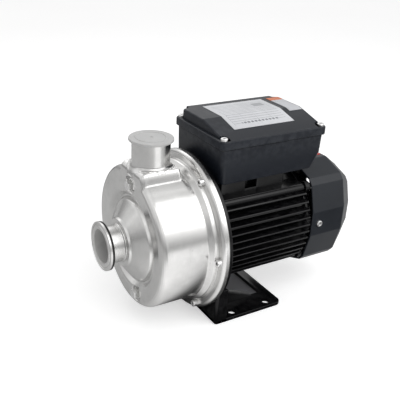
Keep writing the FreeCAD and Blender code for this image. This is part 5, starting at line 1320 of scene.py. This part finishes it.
def circle_places(radius, degrees):
    """Y and Z on a circle about the shaft line, with angles from +Z towards -Y."""
    t = np.radians(degrees)
    return np.stack([-radius * np.sin(t), AXIS_Z + radius * np.cos(t)], 1)


def tie_rod_places():
    """Y and Z of the four tie rods."""
    return circle_places(TIE_ROD_CIRCLE, np.arange(4) * 90 + 45)


class PUMP_OT_screws(bpy.types.Operator):
    """Builds the casing bolts, the lid screws and the fan cover's screws"""

    bl_idname = "pump.screws"
    bl_label = "Screws"

    def execute(self, context):
        bolts = [
            joined(
                socket_head(3.5, 4.5, 1.9, (FLANGE_X, y, z), "-x", 0.8),
                cylinder(0, 11, 2.0, (FLANGE_X, y, z), "x", 24),
            )
            for y, z in circle_places(BOLT_CIRCLE, np.arange(6) * 60 + 30)
        ]
        place_piece("casing_bolts_skin", joined(*bolts), "fastener_steel", ["casing_bolts"])
        base = high("terminal_box_lid")[2] - LID_LIP_DROP
        lids = [socket_head(3.6, 2.6, 1.7, (x, y, base), "z", 1.1) for x, y in lid_corners()]
        place_piece("lid_screws_skin", joined(*lids), "fastener_steel", ["lid_screws"])
        x, half = middle("fan_cover_screws")[0], high("fan_cover")[1]
        sides = [
            socket_head(3.6, 2.2, 1.7, (x, y, AXIS_Z), axis, 1.0)
            for y, axis in ((-half, "-y"), (half, "y"))
        ]
        place_piece("fan_cover_screws_skin", joined(*sides), "fastener_steel", ["fan_cover_screws"])
        return {"FINISHED"}


def lid_corners():
    """Places of the four lid screws."""
    lowest, highest = low("terminal_box_lid"), high("terminal_box_lid")
    inset = 5.5
    return [
        (x, y)
        for x in (lowest[0] + inset, highest[0] - inset)
        for y in (lowest[1] + inset, highest[1] - inset)
    ]


class PUMP_OT_bracket(bpy.types.Operator):
    """Builds the bracket between casing and motor, and the rear shield with its lugs"""

    bl_idname = "pump.bracket"
    bl_label = "Bracket and rear shield"

    def execute(self, context):
        front, rear = MOTOR_FRONT - 8, MOTOR_FRONT
        disc = rounded([
            (front, 17.8, 0.3), (front, 83.0, 0.5), (rear, 83.0, 1.6), (rear, 45.95, 0.3),
            (rear + 5, 45.95, 0.6), (rear + 5, 42, 0.5), (rear, 42, 0.5), (rear, 25, 1.0),
            (rear + 24, 25, 0.8), (rear + 24, 20, 0.4),
            (rear + 12, 20, 0.3), (rear + 12, 17.5, 0.3), (rear + 9.5, 17.5, 0.2), (rear + 9.5, 17.8, 0.1),
        ], steps=4)
        bracket = turned(disc, SHAFT_LINE, "x", 160)
        place_piece("bracket_skin", bracket, "motor_paint", ["motor_bracket"])
        self.shield()
        return {"FINISHED"}

    def shield(self):
        start, end = MOTOR_REAR, MOTOR_REAR + 6
        disc = rounded([
            (start - 5, 42, 0.4), (start - 5, 45.95, 0.4), (start, 45.95, 0.3), (start, 53, 0.8),
            (end, 53, 1.2),
            (end, 8.5, 0.4), (end - 2.5, 8.5, 0.3), (end - 2.5, 17.5, 0.3), (start - 8.5, 17.5, 0.3),
            (start - 8.5, 21.5, 0.6), (start, 21.5, 1.0), (start, 42, 1.0),
        ], steps=3)
        parts = [turned(disc, SHAFT_LINE, "x", 128)]
        lug = rounded([(start, 2.5, 0.2), (start, 7, 0.7), (end, 7, 0.9), (end, 2.5, 0.2)], steps=3)
        parts += [turned(lug, (0, y, z), "x", 40) for y, z in tie_rod_places()]
        reach = high("rear_shield")[1]
        for y in (-reach, reach - 7):
            parts.append(block(start + 1, end + 17, y, y + 7, AXIS_Z - 6, AXIS_Z + 6, 1.0))
        place_piece("rear_shield_skin", joined(*parts), "motor_paint", ["rear_shield"])


class PUMP_OT_housing(bpy.types.Operator):
    """Builds the finned motor housing with its tie-rod bosses and the pad under the terminal box"""

    bl_idname = "pump.housing"
    bl_label = "Motor housing"

    def execute(self, context):
        outline = self.section(context.scene.pump_sizes.fin_tip)
        stations = edge_stations(MOTOR_FRONT, MOTOR_REAR, 0.6, 3)
        tube = fill_mesh("housing_skin", lofted(outline, stations, SHAFT_LINE, "x"))
        span = MOTOR_REAR - MOTOR_FRONT
        tube = carve(tube, cylinder(-2, span + 2, MOTOR_BORE, (MOTOR_FRONT, 0, AXIS_Z), "x", 96))
        place_piece("housing_fins_skin", tube, "motor_paint", ["motor_housing"])
        boss = rounded([
            (MOTOR_FRONT, 2.5, 0.2), (MOTOR_FRONT, 4.8, 0.4), (MOTOR_REAR, 4.8, 0.6), (MOTOR_REAR, 2.5, 0.2),
        ], steps=3)
        bosses = [turned(boss, (0, y, z), "x", 40) for y, z in tie_rod_places()]
        place_piece("housing_bosses_skin", joined(*bosses), "motor_paint")
        pad_top = high("motor_housing")[2]
        x0 = MOTOR_FRONT + 13
        pads = [
            block(x0, x0 + 31, -34, 34, AXIS_Z + 30, pad_top, 2.0, 0.4),
            block(x0 + 44, x0 + 80, -34, 34, AXIS_Z + 30, pad_top, 2.0, 0.4),
            block(x0 + 2, x0 + 78, -25, 25, AXIS_Z + 30, pad_top, 2.0, 0.4),
            block(x0 + 1, x0 + 79, -33.6, 33.6, AXIS_Z + 30, pad_top - 14, 2.0, 0.4),
        ]
        place_piece("housing_pad_skin", joined(*pads), "motor_paint")
        return {"FINISHED"}

    def section(self, tip):
        """Outline of the tube and its level fins, as (Z, -Y)."""
        rows = (np.arange(12) - 5.5) * 8
        edges = rows[:, None] + np.array([-1.0, -1.0, 1.0, 1.0])
        reach = np.sqrt(np.array([TUBE_RADIUS, FIN_RADIUS, FIN_RADIUS, TUBE_RADIUS]) ** 2 - edges**2)
        soft = np.broadcast_to([1.0, tip, tip, 1.0], edges.shape)
        right = np.stack([reach, edges, soft], -1).reshape(-1, 3)
        top = np.radians(np.linspace(62.5, 117.5, 9)[1:-1])
        arch = np.stack([TUBE_RADIUS * np.cos(top), TUBE_RADIUS * np.sin(top), np.full(7, 3.0)], 1)
        left = right[::-1] * [-1, 1, 1]
        corners = np.concatenate([right, arch, left, arch[::-1] * [1, -1, 1]])
        line = rounded(corners, steps=3, support=0.15)
        return line[:, ::-1]


def hood_section():
    """The fan cover's sixteen-cornered section, seen along X, as (Z, -Y, rounding)."""
    quadrant = np.array([(56.0, 14.0), (48.0, 43.5), (42.5, 50.0), (16.0, 60.0)])
    left = quadrant[::-1] * [-1, 1]
    ring = np.concatenate([quadrant, left, -quadrant, -left])
    soft = np.tile([5.0, 2.2, 2.2, 6.0, 6.0, 2.2, 2.2, 5.0], 2)
    return np.column_stack([ring[:, 1], -ring[:, 0], soft])


class PUMP_OT_fan_cover(bpy.types.Operator):
    """Builds the faceted fan cover with its tapered end and slotted grille"""

    bl_idname = "pump.fan_cover"
    bl_label = "Fan cover"

    def execute(self, context):
        start, end = low("fan_cover")[0], high("fan_cover")[0]
        bend = end - 20
        outline = rounded(hood_section(), steps=4, support=0.4)
        skin = rounded([
            (start, 1.0, 0.01), (start, HOOD_RADIUS, 0.7), (bend, HOOD_RADIUS, 4.0),
            (end, HOOD_RADIUS * 0.76, 4.0), (end, 1.0, 0.01),
        ], steps=5, closed=False)
        outer = [(x, 0.0, level / HOOD_RADIUS) for x, level in skin if level > 2]
        inner = [
            (end - 2, 2.0, 0.0), (end - 2, 2.0, 0.72), (end - 2.8, 2.0, 0.75), (bend, 2.0, 1.0),
            (start + 1, 2.0, 1.0), (start, 1.6, 1.0),
        ]
        mesh = fill_mesh("fan_cover_skin", self.cup(outline, outer, inner))
        mesh = carve(mesh, joined(*self.slots(end)))
        place_piece("fan_cover_skin", mesh, "hood_finish", ["fan_cover"])
        return {"FINISHED"}

    def cup(self, outline, outer, inner):
        """One closed skin: outside from the mouth to the end's middle, then back along the inside."""
        stations = outer + [(outer[-1][0], 0.0, 0.0)] + inner
        points = lofted(outline, stations, SHAFT_LINE, "x")[0]
        return surface(points.reshape(len(outline), -1, 3), True, True)

    def slots(self, end):
        """Seven level slots whose ends follow a circle, 5 mm high at a 9 mm pitch."""
        shapes = []
        for row in range(-3, 4):
            z = row * 9.0
            half = math.sqrt(SLOT_CIRCLE**2 - (abs(z) + 1.5) ** 2)
            low_z, high_z = z - 2.5, z + 2.5
            corners = [(low_z, -half, 2.0), (high_z, -half, 2.0), (high_z, half, 2.0), (low_z, half, 2.0)]
            outline = rounded(corners, steps=4, support=0.1)
            shapes.append(lofted(outline, [(end - 4, 0, 1), (end + 1, 0, 1)], SHAFT_LINE, "x"))
        return shapes


class PUMP_OT_foot(bpy.types.Operator):
    """Builds the sheet foot: base plate, front wall with side returns and gussets"""

    bl_idname = "pump.foot"
    bl_label = "Foot"

    def execute(self, context):
        lowest, highest = low("foot"), high("foot")
        x0, x1, half, top = lowest[0], highest[0], highest[1], highest[2]
        t = FOOT_SHEET
        plate = fill_mesh("foot_plate", self.plate(x0, x1, half, t))
        holes = [block(x0 + t, x1 - 11, -33, 33, -2, t + 2, 1.5, 0.1)]
        places = [(x, y, 0) for x in (-22.5, 22.5) for y in (-51.0, 51.0)]
        holes += [cylinder(-2, t + 2, 4.5, place, "z", 40) for place in places]
        place_piece("foot_plate_skin", carve(plate, joined(*holes)), "motor_paint", ["foot"])
        reach = x0 + 14
        plan = rounded([
            (x0, -half, 3.0), (reach, -half, 0.6), (reach, -half + t, 0.6), (x0 + t, -half + t, 1.5),
            (x0 + t, half - t, 1.5), (reach, half - t, 0.6), (reach, half, 0.6), (x0, half, 3.0),
        ], steps=5)
        wall = fill_mesh("foot_wall", lofted(plan, edge_stations(0.02, top, 0.5, 3), (0, 0, 0), "z"))
        wall = carve(wall, cylinder(-3, t + 0.5, 62.5, (x0, 0, AXIS_Z), "x", 160))
        place_piece("foot_wall_skin", wall, "motor_paint")
        place_piece("foot_gussets_skin", joined(*self.gussets(x0 + t, t)), "motor_paint")
        return {"FINISHED"}

    def gussets(self, face, t):
        """Two triangular webs, each with a flange folded inwards along its sloping edge."""
        length, height, tip, fold = 59.0, 24.0, 0.5, 5.0
        web = rounded([
            (t - 0.5, -(face + length), 0.2), (t + tip, -(face + length), 0.3),
            (t + height, 0.5 - face, 0.4), (t - 0.5, 0.5 - face, 0.2),
        ], steps=3)
        flange = rounded([
            (t + tip - 0.8, -(face + length), 0.3), (t + tip + 0.8, -(face + length), 0.5),
            (t + height + 0.8, 0.5 - face, 0.5), (t + height - 0.8, 0.5 - face, 0.3),
        ], steps=3)
        parts = []
        for y, inner in ((-36.0, -36.0), (33.0, 36.0 - 3.0 - fold)):
            for outline, start, depth in ((web, y, 3.0), (flange, inner, 3.0 + fold)):
                points, faces, ends = lofted(outline, edge_stations(0, depth, 0.7, 3), (0, 0, 0), "x")
                parts.append((np.stack([points[:, 1], points[:, 0] + start, points[:, 2]], 1), faces, ends))
        return parts

    def plate(self, x0, x1, half, t):
        outline = rounded([(x0, -half, 3.0), (x1, -half, 7.0), (x1, half, 7.0), (x0, half, 3.0)], steps=6)
        return lofted(outline, edge_stations(0, t, 0.5, 3), (0, 0, 0), "z")


class PUMP_OT_terminal_box(bpy.types.Operator):
    """Builds the terminal box: base, gasket and lid"""

    bl_idname = "pump.terminal_box"
    bl_label = "Terminal box"

    def execute(self, context):
        sizes = context.scene.pump_sizes
        lowest, highest = low("terminal_box_base"), high("terminal_box_base")
        x0, x1, half = lowest[0], highest[0], BOX_HALF
        floor, top = lowest[2], highest[2]
        edge = sizes.moulding_edge
        base = [
            (z, x0 + 1 + i, x1 - 11 - i * 0.5 + (z - floor) * 0.6, -half + i, half - i)
            for z, i in self.foot_edge(floor, edge)
        ]
        base += [
            (floor + 16.2, x0 + 0.6, x1 - 1.6, -half, half), (floor + 17, x0 + 0.55, x1 - 1.0, -half, half),
            (floor + 17.8, x0 + 0.5, x1 - 0.95, -half, half), (top - 0.4, x0, x1, -half, half),
            (top, x0 + 0.3, x1 - 0.3, -half + 0.3, half - 0.3),
            (top, x0 + 2.5, x1 - 2.5, -half + 2.5, half - 2.5),
            (floor + 19, x0 + 3.2, x1 - 3.6, -half + 2.5, half - 2.5),
            (floor + 2.5, x0 + 3.5, x1 - 12.5, -half + 2.5, half - 2.5),
        ]
        place_piece(
            "box_base_skin", upright_box(base, sizes.corner_radius), "box_plastic",
            ["terminal_box_base"],
        )
        self.lid(sizes)
        return {"FINISHED"}

    def foot_edge(self, floor, edge):
        """Heights and insets of the rounded bottom edge."""
        t = np.linspace(0, np.pi / 2, 4)
        return list(zip(floor + edge * (1 - np.cos(t)), edge * (1 - np.sin(t))))

    def lid(self, sizes):
        lowest, highest = low("terminal_box_lid"), high("terminal_box_lid")
        x0, x1, half = lowest[0], highest[0], highest[1]
        lip_top = highest[2] - LID_LIP_DROP
        edge = sizes.moulding_edge
        t = np.linspace(0, np.pi / 2, 4)
        z_up = lip_top - edge * (1 - np.sin(t))
        inset = edge * (1 - np.cos(t))
        rim = [
            (lowest[2], x0 + 0.3, x1 - 0.3, -half + 0.3, half - 0.3),
            (lowest[2] + 0.3, x0, x1, -half, half),
        ]
        rim += [(z, x0 + i, x1 - i, -half + i, half - i) for z, i in zip(z_up, inset)]
        rim += [(lip_top, x0 + 6, x1 - 6, -half + 6, half - 6)]
        lip = upright_box(rim, sizes.corner_radius)
        near, far, ridge = -half + 1.5, half - 3.5, LID_RIDGE_Y
        section = rounded([
            (lip_top - 2, -near, 0.2), (lip_top, -near, 0.6), (highest[2], -ridge, 4.0),
            (highest[2], -far, 1.8), (lip_top - 2, -far, 0.2),
        ], steps=5)
        stations = edge_stations(x0 + 3.5, x1 - 3.5, 1.8, 4)
        crown = fill_mesh("lid_crown", lofted(section, stations, (0, 0, 0), "x"))
        notch = np.array([(0.0, 0.01), (0.0, 6.2), (14.0, 6.8), (14.0, 0.01)])
        crown = carve(crown, joined(*[turned(notch, (x, y, lip_top), "z", 40) for x, y in lid_corners()]))
        place_piece("lid_crown_skin", crown, "box_plastic", ["terminal_box_lid"])
        place_piece("lid_lip_skin", lip, "box_plastic")


class PUMP_OT_labels(bpy.types.Operator):
    """Builds the rating plate, the side label and the arrow label"""

    bl_idname = "pump.labels"
    bl_label = "Labels"

    def execute(self, context):
        for name, finish in (("rating_plate", "plate_metal"), ("side_label", "label_film")):
            place_piece(name + "_skin", self.bent(low(name), high(name)), finish, [name])
        a, b = low("rotation_label"), high("rotation_label")
        arrow = block(a[0], b[0], a[1], b[1], a[2] + 0.02, b[2], 1.2, 0.08)
        place_piece("rotation_label_skin", arrow, "arrow_film", ["rotation_label"])
        return {"FINISHED"}

    def bent(self, lowest, highest):
        """A thin film that follows the lid's level part and then its slope."""
        top, thin, ridge = highest[2], 0.35, LID_RIDGE_Y
        section = rounded([
            (top, -highest[1], 0.1), (top - thin, -highest[1], 0.1), (top - thin, -ridge, 3.0),
            (lowest[2], -lowest[1], 0.1), (lowest[2] + 0.4, -lowest[1], 0.1), (top, -ridge, 3.0),
        ], steps=5)
        return lofted(section, edge_stations(lowest[0], highest[0], 0.08, 2), (0, 0, 0), "x")


class PUMP_OT_gland(bpy.types.Operator):
    """Builds the cable gland: hexagon body, ribbed cap and rubber"""

    bl_idname = "pump.gland"
    bl_label = "Cable gland"

    def execute(self, context):
        centre = middle("gland_body")
        origin = (centre[0], BOX_HALF, centre[2])
        nut = headed([
            (0, 5.02, 0), (0, 10.0, 0), (0.3, 11.6, 11.6), (4.4, 11.6, 11.6), (4.8, 11.2, 11.6),
            (5.0, 10.2, 0), (5.0, 5.02, 0),
        ], origin, "y")
        neck = rounded([
            (-3.5, 5.0, 0.2), (-3.5, 8, 0.4), (0.1, 8, 0.2), (12, 8, 0.4), (12, 6.2, 0.3),
            (5, 6.2, 0.2), (5, 5.0, 0.2),
        ], 3)
        body = joined(nut, turned(neck, origin, "y", 48))
        place_piece("gland_body_skin", body, "gland_plastic", ["gland_body"])
        self.cap(origin)
        seal = rounded([(5, 4.0, 0.3), (5, 6.1, 0.3), (13, 6.1, 0.3), (13, 4.0, 0.9)], 4)
        ring = turned(seal, origin, "y", 48)
        place_piece("gland_seal_skin", ring, "black_rubber", ["gland_seal"])
        return {"FINISHED"}

    def cap(self, origin):
        """Turned cap whose grip swells by a rib twelve times round."""
        line = rounded([
            (6, 8.05, 0.2), (6, 10.1, 0.4), (12.6, 10.1, 1.2), (15, 8.5, 1.2), (15, 5.0, 0.4),
            (13, 5.0, 0.3), (13, 8.05, 0.3),
        ], 4)
        points, faces, _ = turned(line, (0, 0, 0), "y", 120)
        reach = np.hypot(points[:, 0], points[:, 2])
        angle = np.arctan2(points[:, 2], points[:, 0])
        grip = 0.4 * np.clip(np.cos(12 * angle) * 2, -1, 1) * ((reach > 9.6) & (points[:, 1] < 13))
        swell = 1 + grip / np.maximum(reach, 1)
        points = points * np.stack([swell, np.ones(len(grip)), swell], 1) + np.array(origin)
        place_piece("gland_cap_skin", (points, faces, []), "gland_plastic", ["gland_cap"])


class PUMP_OT_inner_parts(bpy.types.Operator):
    """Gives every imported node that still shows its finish"""

    bl_idname = "pump.inner_parts"
    bl_label = "Inner parts"

    def execute(self, context):
        slots = {row["node"]: row["material_slot"] for row in frame["record"]["subparts"]}
        for name, node in frame["nodes"].items():
            finish = finish_of(slots[name])
            if node.material_slots:
                for holder in node.material_slots:
                    holder.material = finish
            else:
                node.data.materials.append(finish)
        return {"FINISHED"}


class PUMP_PT_panel(bpy.types.Panel):
    """Lists the pump's pieces and settings in the sidebar"""

    bl_idname = "PUMP_PT_panel"
    bl_label = "Centrifugal pump"
    bl_space_type = "VIEW_3D"
    bl_region_type = "UI"
    bl_category = "Pump"

    def draw(self, context):
        for holder in (context.scene.pump_sizes, context.scene.pump_finishes, context.scene.pump_stage):
            column = self.layout.column(align=True)
            for name in holder.__annotations__:
                column.prop(holder, name)
        column = self.layout.column(align=True)
        for operator in OPERATORS:
            column.operator(operator.bl_idname)


OPERATORS = (
    PUMP_OT_stage, PUMP_OT_casing, PUMP_OT_suction_port, PUMP_OT_discharge_port, PUMP_OT_plugs,
    PUMP_OT_screws, PUMP_OT_bracket, PUMP_OT_housing, PUMP_OT_fan_cover, PUMP_OT_foot,
    PUMP_OT_terminal_box, PUMP_OT_labels, PUMP_OT_gland, PUMP_OT_inner_parts,
)
GROUP_CLASSES = (PumpSizes, PumpFinishes, PumpStage)


def register():
    """Registers the settings, the operators and the panel."""
    for item in GROUP_CLASSES + OPERATORS + (PUMP_PT_panel,):
        bpy.utils.register_class(item)
    bpy.types.Scene.pump_sizes = PointerProperty(type=PumpSizes)
    bpy.types.Scene.pump_finishes = PointerProperty(type=PumpFinishes)
    bpy.types.Scene.pump_stage = PointerProperty(type=PumpStage)


def unregister():
    """Takes everything away again."""
    for name in ("pump_sizes", "pump_finishes", "pump_stage"):
        delattr(bpy.types.Scene, name)
    for item in reversed(GROUP_CLASSES + OPERATORS + (PUMP_PT_panel,)):
        bpy.utils.unregister_class(item)


def main():
    """Builds every piece in order."""
    register()
    for operator in OPERATORS:
        group, name = operator.bl_idname.split(".")
        getattr(getattr(bpy.ops, group), name)()


if __name__ == "__main__":
    main()
